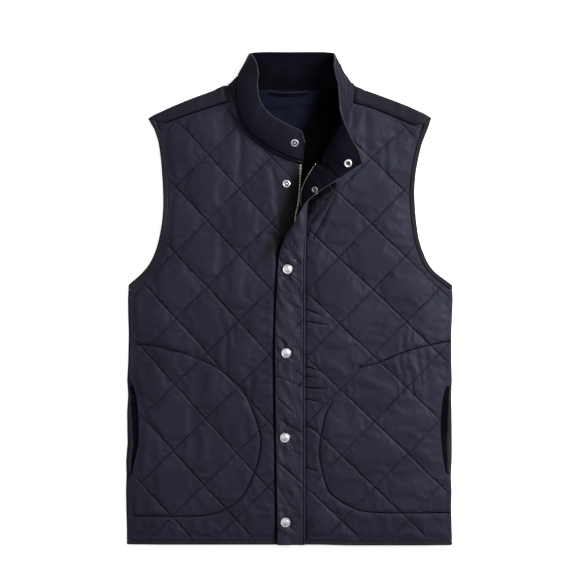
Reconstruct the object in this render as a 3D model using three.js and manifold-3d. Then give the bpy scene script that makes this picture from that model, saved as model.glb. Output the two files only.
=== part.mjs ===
// Quilted vest laid flat on its back on a table, fronts up, collar and zip open at the neck.
// Millimetres. X runs across the chest, Y from hem to collar, Z up from the table.
// "Right" and "left" are the wearer's: the right front lies at negative X.

import * as THREE from 'three';
import { mergeVertices } from 'three/addons/utils/BufferGeometryUtils.js';
import Module from 'manifold-3d';

const wasm = await Module();
wasm.setup();

// Overall sizes of the garment as it lies.
const HALF_WIDTH = 252;
const HEM_Y = -383;
const SIDE_X = 249.4;
const UNDERARM_Y = 11.4;

// Cloth and seams.
const SEAM_GAP = 0.35;
const BACK_THICK = 3;
const LINING_THICK = 1;
const FRONT_WALL = 1.4;
const PUFF = 2.7;
const COLLAR_THICK = 2.4;
const PLACKET_THICK = 2;
const TAPE_THICK = 0.8;
const HEM_BINDING = 6;
const ARMHOLE_BINDING = 7.6;
const PANEL_HEM_Y = HEM_Y + HEM_BINDING + SEAM_GAP;

// Heights of the front's inner face above the table.
const REST_Z = 3.4;
const FULLNESS = 5.2;
const MOUTH_LIFT = 1.7;

// How far a seam or an edge holds the padding down, and the placket the left front under it.
const EDGE_FADE = 16;
const SIDE_FADE = 60;
const ARMHOLE_FADE = 60;
const SHOULDER_FADE = 50;
const HEM_FADE = 70;
const HEM_SHARE = 0.5;
const SEAM_SHARE = 0.35;
const PLACKET_HOLD = { x0: 14, rise: 8, x1: 46, fall: 14, y: 120, fade: 30, share: 0.7 };
const UNDERLAP_HOLD = { x: -12, fade: 18, share: 0.85 };

// Steps of the grids under the panels, and the room above and below every panel.
const COARSE_STEP = 24;
const STRIP_STEP = 22;
const BINDING_STEP = 27;
const HEM_STEP = 16;
const TAPE_STEP = 40;
const UNDER = -20;
const OVER = 80;

// Placket and front edges.
const PLACKET_Z = 13;
const PLACKET_X = 24.5;
const PLACKET_LAP = 2.8;
const PLACKET_LAP_TOP = 0.6;
const LAP_END = { y: 90, fade: 50 };
const RIGHT_EDGE_X = 5.6;

// Zip: width of a tape that shows, its place across the placket, and the slider.
const TAPE_WIDE = 2.9;
const LEFT_TAPE = { s: 0.005, along: 0.985, v: 0.11, across: 0.25 };
const SLIDER_SPOT = { x: 8.5, y: 103, z: 10.7 };
const SLIDER_THICK = 3.4;
const SLIDER_OUTLINE = [
  { x: -4.5, y: -7 },
  { x: 4.5, y: -7 },
  { x: 5, y: 2 },
  { x: 3.4, y: 7 },
  { x: 0, y: 5 },
  { x: -3.4, y: 7 },
  { x: -5, y: 2 },
];

// Snap fasteners.
const CAP_RADIUS = 7.5;
const STUD_RADIUS = 5.95;
const SOCKET_RADIUS = 6.45;
const CLOSED_SNAPS = [
  { x: -1.9, y: 44.6 },
  { x: -3.9, y: -85.4 },
  { x: -6.0, y: -216.5 },
  { x: -5.0, y: -347.7 },
];
const TOP_STUD = { x: -3.6, y: 177.2 };
const COLLAR_STUD = { x: 9.5, y: 239.5 };
const COLLAR_SOCKET = { x: 89.7, y: 207.7 };
const TOP_SOCKET = { x: 39.1, y: 166.6 };
const CAP_CLEAR = 0.6;
const COLLAR_STUD_CLEAR = 0.5;
const COLLAR_SOCKET_CLEAR = 0.6;
const COLLAR_CAP_CLEAR = 0.7;
const TOP_SOCKET_CLEAR = 1.2;

// Quilting: one corner of the diamond lattice and its two stitch directions, for each front.
const QUILT_RIGHT = { x: -126.4, y: 120.3, ax: 48.6, ay: -53.2, bx: 49.7, by: 49.4 };
const QUILT_LEFT = { x: 128.4, y: 12.7, ax: 51.8, ay: -49.8, bx: 50.4, by: 52.4 };
const QUILT_STEPS = [0, 0.12, 0.36, 0.64, 0.88];

// Pattern lines of one half, from which the other half is mirrored.
const SHOULDER = [
  { x: 102, y: 329.5 },
  { x: 117, y: 322 },
  { x: 150, y: 309.6 },
  { x: 181, y: 297 },
  { x: 207, y: 285 },
  { x: 217, y: 279 },
];
const ARMHOLE = [
  { x: 217, y: 279 },
  { x: 208, y: 256 },
  { x: 200, y: 222 },
  { x: 195, y: 183 },
  { x: 194.5, y: 146 },
  { x: 198, y: 109 },
  { x: 206, y: 74 },
  { x: 220, y: 46 },
  { x: 251.6, y: 20 },
];
const SHOULDER_CORNER = { x: 201.6, y: 266.6 };
const FORWARD_SEAM = [
  { x: 90, y: 306.5 },
  { x: 130, y: 293.5 },
  { x: 160, y: 283.5 },
  { x: 204, y: 267 },
];
const BACK_NECK = [
  { x: -94, y: 328.6 },
  { x: -68, y: 323.8 },
  { x: 0.5, y: 321.1 },
  { x: 72, y: 323 },
  { x: 98, y: 328.6 },
];
const RIGHT_NECKLINE = [
  { x: 15.4, y: 209.5 },
  { x: -2, y: 216.5 },
  { x: -38, y: 236.5 },
  { x: -67.5, y: 262 },
  { x: -80.5, y: 296 },
  { x: -86, y: 307 },
];
const RIGHT_FRONT_EDGE = [
  { x: RIGHT_EDGE_X, y: -376.6 },
  { x: RIGHT_EDGE_X, y: 90 },
  { x: 8.1, y: 128 },
  { x: 12, y: 147 },
  { x: 14.2, y: 171 },
  { x: 15.4, y: 209.5 },
];
const LEFT_NECKLINE = [
  { x: 50, y: 203.5 },
  { x: 53, y: 218 },
  { x: 58.5, y: 235 },
  { x: 71, y: 254 },
  { x: 85.5, y: 274 },
  { x: 93.5, y: 296 },
  { x: 97, y: 304 },
];
const LINING_SIDES = [
  { x: 98, y: 290 },
  { x: 92, y: 240 },
  { x: 64, y: 180 },
  { x: 34, y: 96 },
  { x: -20, y: 96 },
  { x: -46, y: 190 },
  { x: -84, y: 240 },
  { x: -94, y: 290 },
];
const LINING_NECK = { x0: -80, x1: 84, below: 1.5 };
const POCKET_MOUTH = { top: -124, bottom: -284, deep: 15.5, round: 0.8 };
const FACING = { x: 229, inset: 16, outset: 12, proud: 1.6 };
const POCKET_BAG = [
  { x: 226, y: -74 },
  { x: 188, y: -80 },
  { x: 143, y: -97 },
  { x: 106, y: -112 },
  { x: 75, y: -144 },
  { x: 56, y: -182 },
  { x: 47, y: -225 },
  { x: 51, y: -268 },
  { x: 72, y: -312 },
  { x: 103, y: -329 },
  { x: 150, y: -336 },
  { x: 226, y: -337 },
];

// The cut across the shoulder tip, where the armhole binding ends, and the strip behind it.
const BINDING_TOP = 276.4;
const TIP_Y = BINDING_TOP + SEAM_GAP;
const SHOULDER_TIP = [{ x: 216, y: TIP_Y }, { x: 207.4, y: TIP_Y }];
const STRIP_NECK = [{ x: 97.5, y: 304.8 }, { x: 101.4, y: 326 }];
const STRIP_RIM = 4;
const STRIP_PROUD = 0.6;
const STRIP_INSET = 0.4;

// The armhole binding: how proud it stands, and the frame that cuts its two ends.
const ARMHOLE_PROUD = 1.1;
const ARMHOLE_UNDER = 0.5;
const BINDING_FRAME = [
  { x: 150, y: BINDING_TOP },
  { x: 230, y: BINDING_TOP },
  { x: 230, y: 60 },
  { x: HALF_WIDTH, y: 60 },
  { x: HALF_WIDTH, y: 11.8 },
  { x: 150, y: 11.8 },
];
const TIP_BLOCK = { x0: 190, x1: 230, y0: 272.4, y1: 290 };
const UNDERARM_BLOCK = { x0: 246, x1: 260, y0: 0, y1: 40 };
const HEM_PROUD = 0.9;

// Main creases of each front as soft troughs: two ends, depth and half width.
const CREASES = [
  { x1: -74, y1: 257, x2: -76, y2: 186, depth: 1.6, wide: 7 },
  { x1: -27, y1: 203, x2: -18, y2: 160, depth: 1.2, wide: 6 },
  { x1: -97, y1: -56, x2: -99, y2: -108, depth: 1.2, wide: 7 },
  { x1: 115, y1: 290, x2: 120, y2: 229, depth: 1.7, wide: 7 },
  { x1: 146, y1: 239, x2: 149, y2: 191, depth: 1.3, wide: 6 },
  { x1: 162, y1: 260, x2: 162, y2: 209, depth: 1.1, wide: 6 },
  { x1: 208, y1: -82, x2: 216, y2: -160, depth: 1.2, wide: 6 },
];

// Where the left front rises towards the turned-back edge: centre, height and reach.
const LEFT_LIFTS = [
  { x: 54, y: 209, high: 10, reach: 32 },
  { x: 28, y: 150, high: 3.6, reach: 26 },
];

// Placket sections: seam edge (s), middle (m) and free edge (f). It turns over near the neck.
const PLACKET_ROWS = [
  { sx: 24.5, sy: -383, sz: 13, mx: 3.5, my: -383, mz: 13, fx: -17.4, fy: -383, fz: 13 },
  { sx: 24.5, sy: -217, sz: 13, mx: 2.5, my: -217, mz: 13.2, fx: -19.7, fy: -217, fz: 13 },
  { sx: 24.4, sy: -62, sz: 13, mx: 1.8, my: -62, mz: 13.2, fx: -21.2, fy: -62, fz: 13 },
  { sx: 24.5, sy: 20, sz: 13, mx: 3.2, my: 20, mz: 13.2, fx: -18.2, fy: 20, fz: 13 },
  { sx: 24.7, sy: 50, sz: 13, mx: 4.2, my: 50, mz: 13.2, fx: -16.6, fy: 50, fz: 13 },
  { sx: 25, sy: 68, sz: 13.1, mx: 6, my: 68, mz: 16.5, fx: -14.6, fy: 68, fz: 14.8 },
  { sx: 25.7, sy: 93, sz: 13.6, mx: 12, my: 95, mz: 25.5, fx: -5.6, fy: 93.5, fz: 20 },
  { sx: 26.6, sy: 112, sz: 14.6, mx: 22, my: 117, mz: 31.5, fx: 10, fy: 118, fz: 28 },
  { sx: 28, sy: 133, sz: 16, mx: 20.6, my: 134, mz: 28.5, fx: 17, fy: 132, fz: 34 },
  { sx: 30, sy: 150, sz: 17.6, mx: 20, my: 147, mz: 27.5, fx: 26.4, fy: 145.7, fz: 33 },
  { sx: 32, sy: 167, sz: 19.2, mx: 21.5, my: 161, mz: 28, fx: 39.2, fy: 158.6, fz: 29.5 },
  { sx: 38.5, sy: 183, sz: 20.6, mx: 27.5, my: 177, mz: 29, fx: 54.7, fy: 169.4, fz: 25.5 },
  { sx: 46, sy: 195, sz: 22, mx: 38, my: 194.5, mz: 29.8, fx: 69.9, fy: 179.3, fz: 22.6 },
  { sx: 50.5, sy: 202.5, sz: 22.6, mx: 46, my: 206, mz: 30, fx: 76.4, fy: 184.5, fz: 21.4 },
];

// Collar stations from the right front's end round the back to the turned end:
// neck seam (n), free edge (t) and how far the band bows outwards between them.
const COLLAR_ROWS = [
  { nx: 22.2, ny: 208.7, nz: 11.5, tx: 24.5, ty: 240, tz: 27, bow: 1 },
  { nx: 17.5, ny: 209.6, nz: 11.5, tx: 19.1, ty: 256.5, tz: 31, bow: 2 },
  { nx: -3.4, ny: 215.5, nz: 11.5, tx: 5.1, ty: 264.3, tz: 33, bow: 3 },
  { nx: -39.8, ny: 235.6, nz: 12, tx: -22.8, ty: 279, tz: 35, bow: 4 },
  { nx: -69.8, ny: 262, nz: 12, tx: -42.2, ty: 300.7, tz: 36, bow: 5 },
  { nx: -83.9, ny: 300.7, nz: 12, tx: -48.4, ty: 334.8, tz: 34, bow: 5 },
  { nx: -89.4, ny: 317.8, nz: 12.4, tx: -52.2, ty: 361.2, tz: 29, bow: 4 },
  { nx: -92.4, ny: 328.4, nz: 12.4, tx: -57.4, ty: 374.3, tz: 21, bow: 2 },
  { nx: -94.4, ny: 331.4, nz: 8.8, tx: -61.2, ty: 379, tz: 12, bow: 0 },
  { nx: -87.9, ny: 328.9, nz: 3.6, tx: -60, ty: 381.3, tz: 4.4, bow: 0 },
  { nx: -67.7, ny: 325, nz: 1.4, tx: -50.7, ty: 382.7, tz: 1.4, bow: 0 },
  { nx: 0.5, ny: 322.2, nz: 1.4, tx: 3.6, ty: 383, tz: 1.4, bow: 0 },
  { nx: 71.8, ny: 324.2, nz: 1.4, tx: 60.9, ty: 382.7, tz: 1.4, bow: 0 },
  { nx: 91.9, ny: 328.9, nz: 3.6, tx: 68.7, ty: 381.3, tz: 4.4, bow: 0 },
  { nx: 101.4, ny: 331.4, nz: 8.8, tx: 71.8, ty: 377.4, tz: 13, bow: 0 },
  { nx: 101.2, ny: 326.4, nz: 12.4, tx: 72.2, ty: 368.9, tz: 24, bow: 1 },
  { nx: 98.9, ny: 313.1, nz: 12.4, tx: 73, ty: 353.4, tz: 34, bow: 3 },
  { nx: 95.8, ny: 297.6, nz: 12, tx: 74.9, ty: 330.2, tz: 41, bow: 4 },
  { nx: 87.3, ny: 276, nz: 12, tx: 76.1, ty: 308.5, tz: 43, bow: 4 },
  { nx: 73.3, ny: 256, nz: 13.5, tx: 77.5, ty: 291.4, tz: 42.5, bow: 3 },
  { nx: 61.5, ny: 239, nz: 18.5, tx: 81.8, ty: 276.7, tz: 40, bow: 2 },
  { nx: 56.8, ny: 223.4, nz: 24, tx: 88.8, ty: 260.4, tz: 35, bow: 1 },
  { nx: 57.2, ny: 208.3, nz: 28.4, tx: 98.1, ty: 241.8, tz: 28, bow: 0 },
  { nx: 67.6, ny: 198, nz: 25.4, tx: 106.6, ty: 227.9, tz: 22.4, bow: 0 },
  { nx: 78.4, ny: 185.8, nz: 21.6, tx: 112.8, ty: 209.3, tz: 18.4, bow: 0 },
];

// Where the collar tucks in over each shoulder: place round the neck, depth and reach.
const COLLAR_TUCKS = [
  { at: 0.345, depth: 6.2, reach: 0.04 },
  { at: 0.583, depth: 4.5, reach: 0.035 },
];
const TUCK_PEAK = 0.22;
const ON_FRONTS_Y = 306;
const SEAT_REACH = 3;

// Ribbon loop under the back of the collar: along X, sagging down the lining.
const LOOP_ROWS = [
  { x: -32, y: 318.4, z: 5.4 },
  { x: -22, y: 317, z: 6.6 },
  { x: 0, y: 315.8, z: 8 },
  { x: 20, y: 316.8, z: 6.8 },
  { x: 29, y: 318.2, z: 5.4 },
];
const LOOP_WIDE = 6;
const LOOP_TILT = 0.6;

// Colours of the cloth and metal.
const NAVY = 0x2b2b3a;
const COLLAR_NAVY = 0x181822;
const LINING_NAVY = 0x151827;
const TRIM = 0x1c1c22;
const ZIP_TAPE = 0x12121a;
const NICKEL = 0xc8cacc;
const BRASS = 0x8d7f68;

const garment = new THREE.Group();

// Small maths.
function smooth(value) {
  const t = Math.min(1, Math.max(0, value));
  return t * t * (3 - 2 * t);
}

function mirrored(points) {
  return points.map((p) => ({ x: -p.x, y: p.y }));
}

function block(box) {
  return [
    { x: box.x0, y: box.y0 },
    { x: box.x1, y: box.y0 },
    { x: box.x1, y: box.y1 },
    { x: box.x0, y: box.y1 },
  ];
}

function splined(points, steps) {
  const curve = new THREE.CatmullRomCurve3(points.map((p) => new THREE.Vector3(p.x, p.y, 0)));
  return curve.getPoints(steps).map((p) => ({ x: p.x, y: p.y }));
}

function segmentDistance(x, y, a, b) {
  const dx = b.x - a.x;
  const dy = b.y - a.y;
  const t = Math.min(1, Math.max(0, ((x - a.x) * dx + (y - a.y) * dy) / (dx * dx + dy * dy)));
  return Math.hypot(x - a.x - t * dx, y - a.y - t * dy);
}

function lineDistance(x, y, line) {
  let best = Infinity;
  for (let i = 1; i < line.length; i += 1) {
    best = Math.min(best, segmentDistance(x, y, line[i - 1], line[i]));
  }
  return best;
}

// A line moved sideways, to its left when the distance is positive.
function shifted(line, distance) {
  return line.map((p, i) => {
    const a = line[Math.max(0, i - 1)];
    const b = line[Math.min(line.length - 1, i + 1)];
    const length = Math.hypot(b.x - a.x, b.y - a.y);
    return {
      x: p.x - (distance * (b.y - a.y)) / length,
      y: p.y + (distance * (b.x - a.x)) / length,
    };
  });
}

function reversed(line) {
  return line.slice().reverse();
}

// Solids.
function solidFrom(geometry) {
  const bare = geometry.clone();
  bare.deleteAttribute('normal');
  bare.deleteAttribute('uv');
  const merged = mergeVertices(bare, 1e-4);
  return new wasm.Manifold(
    new wasm.Mesh({
      numProp: 3,
      vertProperties: new Float32Array(merged.attributes.position.array),
      triVerts: new Uint32Array(merged.index.array),
    }),
  );
}

function geometryFrom(solid) {
  const mesh = solid.getMesh();
  const geometry = new THREE.BufferGeometry();
  geometry.setAttribute('position', new THREE.BufferAttribute(new Float32Array(mesh.vertProperties), 3));
  geometry.setIndex(new THREE.BufferAttribute(new Uint32Array(mesh.triVerts), 1));
  return geometry;
}

function add(name, geometry, colour, roughness = 0.8, metalness = 0) {
  const material = new THREE.MeshStandardMaterial({ color: colour, roughness, metalness });
  const mesh = new THREE.Mesh(geometry, material);
  mesh.name = name;
  garment.add(mesh);
  return mesh;
}

function prism(outline, low = UNDER, high = OVER) {
  const shape = new THREE.Shape(outline.map((p) => new THREE.Vector2(p.x, p.y)));
  const geometry = new THREE.ExtrudeGeometry(shape, { depth: high - low, bevelEnabled: false });
  geometry.translate(0, 0, low);
  return solidFrom(geometry);
}

// A closed grid of two faces: near(i, j) and far(i, j) give its points.
function gridShell(columns, rows, near, far) {
  const points = [];
  for (const face of [near, far]) {
    for (let j = 0; j <= rows; j += 1) {
      for (let i = 0; i <= columns; i += 1) {
        points.push(...face(i, j));
      }
    }
  }
  const size = (columns + 1) * (rows + 1);
  const at = (i, j) => j * (columns + 1) + i;
  const index = [];
  const quad = (a, b, c, d) => index.push(a, b, c, a, c, d);
  for (let j = 0; j < rows; j += 1) {
    for (let i = 0; i < columns; i += 1) {
      quad(at(i, j), at(i + 1, j), at(i + 1, j + 1), at(i, j + 1));
      quad(size + at(i, j), size + at(i, j + 1), size + at(i + 1, j + 1), size + at(i + 1, j));
    }
  }
  for (let i = 0; i < columns; i += 1) {
    quad(at(i, 0), size + at(i, 0), size + at(i + 1, 0), at(i + 1, 0));
    quad(at(i + 1, rows), size + at(i + 1, rows), size + at(i, rows), at(i, rows));
  }
  for (let j = 0; j < rows; j += 1) {
    quad(at(0, j + 1), size + at(0, j + 1), size + at(0, j), at(0, j));
    quad(at(columns, j), size + at(columns, j), size + at(columns, j + 1), at(columns, j + 1));
  }
  const geometry = new THREE.BufferGeometry();
  geometry.setAttribute('position', new THREE.BufferAttribute(new Float32Array(points), 3));
  geometry.setIndex(index);
  return geometry;
}

// Everything below a height, over a grid whose points are placed by place(i, j).
function below(columns, rows, place, height) {
  const top = (i, j) => {
    const p = place(i, j);
    return [p.x, p.y, height(p.x, p.y)];
  };
  const bottom = (i, j) => {
    const p = place(i, j);
    return [p.x, p.y, UNDER - 5];
  };
  return solidFrom(gridShell(columns, rows, top, bottom));
}

function squareGrid(x0, x1, y0, y1, step) {
  const columns = Math.max(1, Math.ceil((x1 - x0) / step));
  const rows = Math.max(1, Math.ceil((y1 - y0) / step));
  const place = (i, j) => ({
    x: x0 + ((x1 - x0) * i) / columns,
    y: y0 + ((y1 - y0) * j) / rows,
  });
  return { columns, rows, place };
}

// A grid along both stitch directions, with finer steps beside each stitch line.
function quiltGrid(lattice, first, last) {
  const lines = [];
  for (let cell = first; cell < last; cell += 1) {
    lines.push(...QUILT_STEPS.map((step) => cell + step));
  }
  lines.push(last);
  const place = (i, j) => ({
    x: lattice.x + lines[i] * lattice.ax + lines[j] * lattice.bx,
    y: lattice.y + lines[i] * lattice.ay + lines[j] * lattice.by,
  });
  return { columns: lines.length - 1, rows: lines.length - 1, place };
}

// A wall of cloth between two heights inside an outline.
function layer(outline, low, high, lowGrid, highGrid) {
  const roof = below(highGrid.columns, highGrid.rows, highGrid.place, high);
  const room = below(lowGrid.columns, lowGrid.rows, lowGrid.place, low);
  return prism(outline).intersect(roof).subtract(room);
}

// A wall of cloth of even thickness on a surface given by two parameters from 0 to 1.
function thickSheet(columns, rows, surface, thickness) {
  const nearby = 0.002;
  const face = (side) => (i, j) => {
    const p = surfacePoint(surface, i / columns, j / rows, (side * thickness) / 2, nearby);
    return [p.x, p.y, p.z];
  };
  return gridShell(columns, rows, face(1), face(-1));
}

function surfacePoint(surface, s, v, offset, nearby = 0.002) {
  const s0 = Math.max(0, s - nearby);
  const s1 = Math.min(1, s + nearby);
  const v0 = Math.max(0, v - nearby);
  const v1 = Math.min(1, v + nearby);
  const along = surface(s1, v).sub(surface(s0, v));
  const across = surface(s, v1).sub(surface(s, v0));
  const normal = along.cross(across).normalize();
  return surface(s, v).addScaledVector(normal, offset);
}

// Heights of the fronts.
const armhole = splined(ARMHOLE, 22);
const forwardSeam = splined(FORWARD_SEAM, 8);

function quiltPuff(lattice, x, y) {
  const across = lattice.ax * lattice.by - lattice.ay * lattice.bx;
  const dx = x - lattice.x;
  const dy = y - lattice.y;
  const u = (dx * lattice.by - dy * lattice.bx) / across;
  const v = (dy * lattice.ax - dx * lattice.ay) / across;
  const hump = (t) => {
    const part = t - Math.floor(t);
    return 4 * part * (1 - part);
  };
  return Math.sqrt(hump(u) * hump(v));
}

function creaseDepth(x, y) {
  let depth = 0;
  for (const c of CREASES) {
    const away = segmentDistance(x, y, { x: c.x1, y: c.y1 }, { x: c.x2, y: c.y2 });
    depth += c.depth * Math.exp(-((away / c.wide) ** 2));
  }
  return depth;
}

function leftLift(x, y) {
  let lift = 0;
  for (const l of LEFT_LIFTS) {
    lift += l.high * Math.exp(-((x - l.x) ** 2 + (y - l.y) ** 2) / (2 * l.reach * l.reach));
  }
  return lift;
}

function innerHeight(x, y) {
  const seamHold = (line, fade) => {
    return SEAM_SHARE + (1 - SEAM_SHARE) * smooth(lineDistance(Math.abs(x), y, line) / fade);
  };
  const side = smooth((SIDE_X - Math.abs(x)) / SIDE_FADE);
  const hem = HEM_SHARE + (1 - HEM_SHARE) * smooth((y - HEM_Y) / HEM_FADE);
  const seams = seamHold(armhole, ARMHOLE_FADE) * seamHold(forwardSeam, SHOULDER_FADE);
  const mouthMiddle = (POCKET_MOUTH.top + POCKET_MOUTH.bottom) / 2;
  const mouthHalf = (POCKET_MOUTH.top - POCKET_MOUTH.bottom) / 2;
  const mouth = smooth(1.7 - Math.abs(y - mouthMiddle) / mouthHalf);
  return REST_Z + FULLNESS * side * hem * seams + MOUTH_LIFT * mouth * (1 - side);
}

function leftInnerHeight(x, y) {
  return innerHeight(x, y) + leftLift(x, y);
}

function edgeFade(x, y, outline) {
  return smooth(lineDistance(x, y, outline) / EDGE_FADE);
}

// Outlines of the panels.
const RIGHT_SEAM_SPAN = { x0: 88, x1: 200 };
const LEFT_SEAM_SPAN = { x0: 99, x1: 200 };
const STRIP_SEAM_SPAN = { x0: 96, x1: 203 };
const PLACKET_SEAM_SPAN = { y0: -300, y1: 200 };
const CORNER_CLEAR = 4;
const rightNeckline = splined(RIGHT_NECKLINE, 14);
const leftNeckline = splined(LEFT_NECKLINE, 14);
const innerArmhole = shifted(armhole, -(ARMHOLE_BINDING + SEAM_GAP));

function mouthNotch() {
  const notch = [];
  const steps = 10;
  for (let i = 0; i <= steps; i += 1) {
    const t = i / steps;
    notch.push({
      x: SIDE_X - POCKET_MOUTH.deep * Math.sin(Math.PI * t) ** POCKET_MOUTH.round,
      y: POCKET_MOUTH.top + (POCKET_MOUTH.bottom - POCKET_MOUTH.top) * t,
    });
  }
  return notch;
}

// The outer edge of a front, from the shoulder seam down the armhole and side to the hem.
function outerEdge() {
  const high = SHOULDER_CORNER.y - CORNER_CLEAR;
  const arm = innerArmhole.filter((p) => p.y < high && p.x < SIDE_X && p.y > UNDERARM_Y);
  return [
    SHOULDER_CORNER,
    ...arm,
    { x: SIDE_X, y: UNDERARM_Y },
    ...mouthNotch(),
    { x: SIDE_X, y: PANEL_HEM_Y },
  ];
}

function placketSeam({ y0, y1 }) {
  const rows = PLACKET_ROWS.filter((row) => row.sy > y0 && row.sy <= y1);
  return rows.map((row) => {
    const end = smooth((row.sy - LAP_END.y) / LAP_END.fade);
    return { x: row.sx - PLACKET_LAP + (PLACKET_LAP - PLACKET_LAP_TOP) * end, y: row.sy };
  });
}

function seamBetween({ x0, x1 }) {
  return shifted(forwardSeam, -SEAM_GAP).filter((p) => p.x > x0 && p.x < x1);
}

const rightFrontOutline = [
  ...splined(RIGHT_FRONT_EDGE, 12),
  ...rightNeckline.slice(1),
  ...mirrored(seamBetween(RIGHT_SEAM_SPAN)),
  ...mirrored(outerEdge()),
];
rightFrontOutline[0].y = PANEL_HEM_Y;

const leftFrontOutline = [
  { x: PLACKET_X - PLACKET_LAP, y: PANEL_HEM_Y },
  ...placketSeam(PLACKET_SEAM_SPAN),
  ...leftNeckline,
  ...seamBetween(LEFT_SEAM_SPAN),
  ...outerEdge(),
];

// How much of the padding's height is left beside and under the placket.
function held(x, y) {
  if (x > 0) {
    const rise = smooth((x - PLACKET_HOLD.x0) / PLACKET_HOLD.rise);
    const fall = smooth((PLACKET_HOLD.x1 - x) / PLACKET_HOLD.fall);
    return 1 - PLACKET_HOLD.share * rise * fall * smooth((PLACKET_HOLD.y - y) / PLACKET_HOLD.fade);
  }
  return 1 - UNDERLAP_HOLD.share * (1 - smooth((UNDERLAP_HOLD.x - x) / UNDERLAP_HOLD.fade));
}

function frontTop(lattice, outline, inner) {
  return (x, y) => {
    const fade = edgeFade(x, y, outline);
    const puff = PUFF * quiltPuff(lattice, x, y) * held(x, y);
    return inner(x, y) + FRONT_WALL + (puff - creaseDepth(x, y)) * fade;
  };
}

const rightTop = frontTop(QUILT_RIGHT, rightFrontOutline, innerHeight);
const leftTop = frontTop(QUILT_LEFT, leftFrontOutline, leftInnerHeight);
const CREASE_SHARE_INSIDE = 0.6;
const frontFloor = (inner) => (x, y) => inner(x, y) - CREASE_SHARE_INSIDE * creaseDepth(x, y);

function buildFronts() {
  const right = layer(
    rightFrontOutline,
    frontFloor(innerHeight),
    rightTop,
    squareGrid(-260, 30, -390, 335, COARSE_STEP),
    quiltGrid(QUILT_RIGHT, -6, 9),
  );
  const rightMesh = add('front_right', geometryFrom(right), NAVY);
  const left = layer(
    leftFrontOutline,
    frontFloor(leftInnerHeight),
    leftTop,
    squareGrid(10, 260, -390, 335, COARSE_STEP),
    quiltGrid(QUILT_LEFT, -7, 8),
  );
  add('front_left', geometryFrom(left), NAVY);
  return rightMesh;
}

// Back panel, flat on the table, which wraps over each shoulder to the forward seam.
function shoulderStrip() {
  const seamSide = forwardSeam.filter((p) => p.x > STRIP_SEAM_SPAN.x0 && p.x < STRIP_SEAM_SPAN.x1);
  const foldLine = SHOULDER.slice(1);
  const outline = [
    STRIP_NECK[1],
    ...foldLine,
    ...SHOULDER_TIP,
    ...innerArmhole.filter((p) => p.y < TIP_Y && p.y > SHOULDER_CORNER.y + 2),
    ...reversed(seamSide),
    STRIP_NECK[0],
  ];
  const top = (x, y) => innerHeight(x, y) + FRONT_WALL + STRIP_PROUD;
  const grid = squareGrid(90, 225, 255, 335, STRIP_STEP);
  const strip = layer(outline, (x, y) => innerHeight(x, y) - STRIP_INSET, top, grid, grid);
  const rimOutline = [...foldLine, ...reversed(shifted(foldLine, -STRIP_RIM))];
  const rim = layer(rimOutline, () => 0, top, grid, grid).intersect(prism(outline));
  return strip.add(rim);
}

function mirrorSolid(solid) {
  const geometry = geometryFrom(solid);
  const position = geometry.attributes.position;
  for (let i = 0; i < position.count; i += 1) {
    position.setX(i, -position.getX(i));
  }
  const index = geometry.index.array;
  for (let i = 0; i < index.length; i += 3) {
    const keep = index[i];
    index[i] = index[i + 1];
    index[i + 1] = keep;
  }
  return solidFrom(geometry);
}

function buildBack() {
  const arm = innerArmhole.filter((p) => p.x < HALF_WIDTH && p.y < TIP_Y);
  const half = [...SHOULDER, ...SHOULDER_TIP, ...arm, { x: HALF_WIDTH, y: UNDERARM_Y }];
  const outline = [
    ...splined(BACK_NECK, 16),
    ...half,
    { x: HALF_WIDTH, y: PANEL_HEM_Y },
    { x: -HALF_WIDTH, y: PANEL_HEM_Y },
    ...mirrored(reversed(half)),
  ];
  const flat = prism(outline, 0, BACK_THICK);
  const strip = shoulderStrip();
  add('back_panel', geometryFrom(flat.add(strip).add(mirrorSolid(strip))), NAVY);
}

function buildLining() {
  const neck = splined(BACK_NECK, 16).filter((p) => p.x > LINING_NECK.x0 && p.x < LINING_NECK.x1);
  const outline = [...shifted(neck, -LINING_NECK.below), ...LINING_SIDES];
  const low = BACK_THICK + SEAM_GAP;
  add('back_lining', geometryFrom(prism(outline, low, low + LINING_THICK)), LINING_NAVY);
}

// Pocket bags between front and back, which show as the facing in each pocket mouth.
function buildPockets() {
  const outline = [
    ...splined(POCKET_BAG, 30),
    { x: FACING.x, y: POCKET_MOUTH.bottom + FACING.inset },
    { x: SIDE_X + FACING.proud, y: POCKET_MOUTH.bottom + FACING.outset },
    { x: SIDE_X + FACING.proud, y: POCKET_MOUTH.top - FACING.outset },
    { x: FACING.x, y: POCKET_MOUTH.top - FACING.inset },
  ];
  const low = BACK_THICK + SEAM_GAP;
  const solid = prism(outline, low, low + LINING_THICK);
  add('pocket_left', geometryFrom(solid), TRIM);
  add('pocket_right', geometryFrom(mirrorSolid(solid)), TRIM);
}

// Bindings.
function buildArmholeBindings() {
  const outline = [...armhole, ...reversed(shifted(armhole, -ARMHOLE_BINDING))];
  const grid = squareGrid(180, 260, 0, 290, BINDING_STEP);
  const top = (x, y) => innerHeight(x, y) + FRONT_WALL + ARMHOLE_PROUD;
  const front = layer(outline, (x, y) => innerHeight(x, y) - ARMHOLE_UNDER, top, grid, grid);
  const back = prism(outline, 0, BACK_THICK);
  const tipEnd = layer(block(TIP_BLOCK), () => 0, top, grid, grid);
  const armEnd = layer(block(UNDERARM_BLOCK), () => 0, top, grid, grid);
  const ends = tipEnd.add(armEnd).intersect(prism(outline));
  const solid = front.add(back).add(ends).intersect(prism(BINDING_FRAME));
  add('armhole_binding_left', geometryFrom(solid), TRIM);
  add('armhole_binding_right', geometryFrom(mirrorSolid(solid)), TRIM);
}

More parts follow.
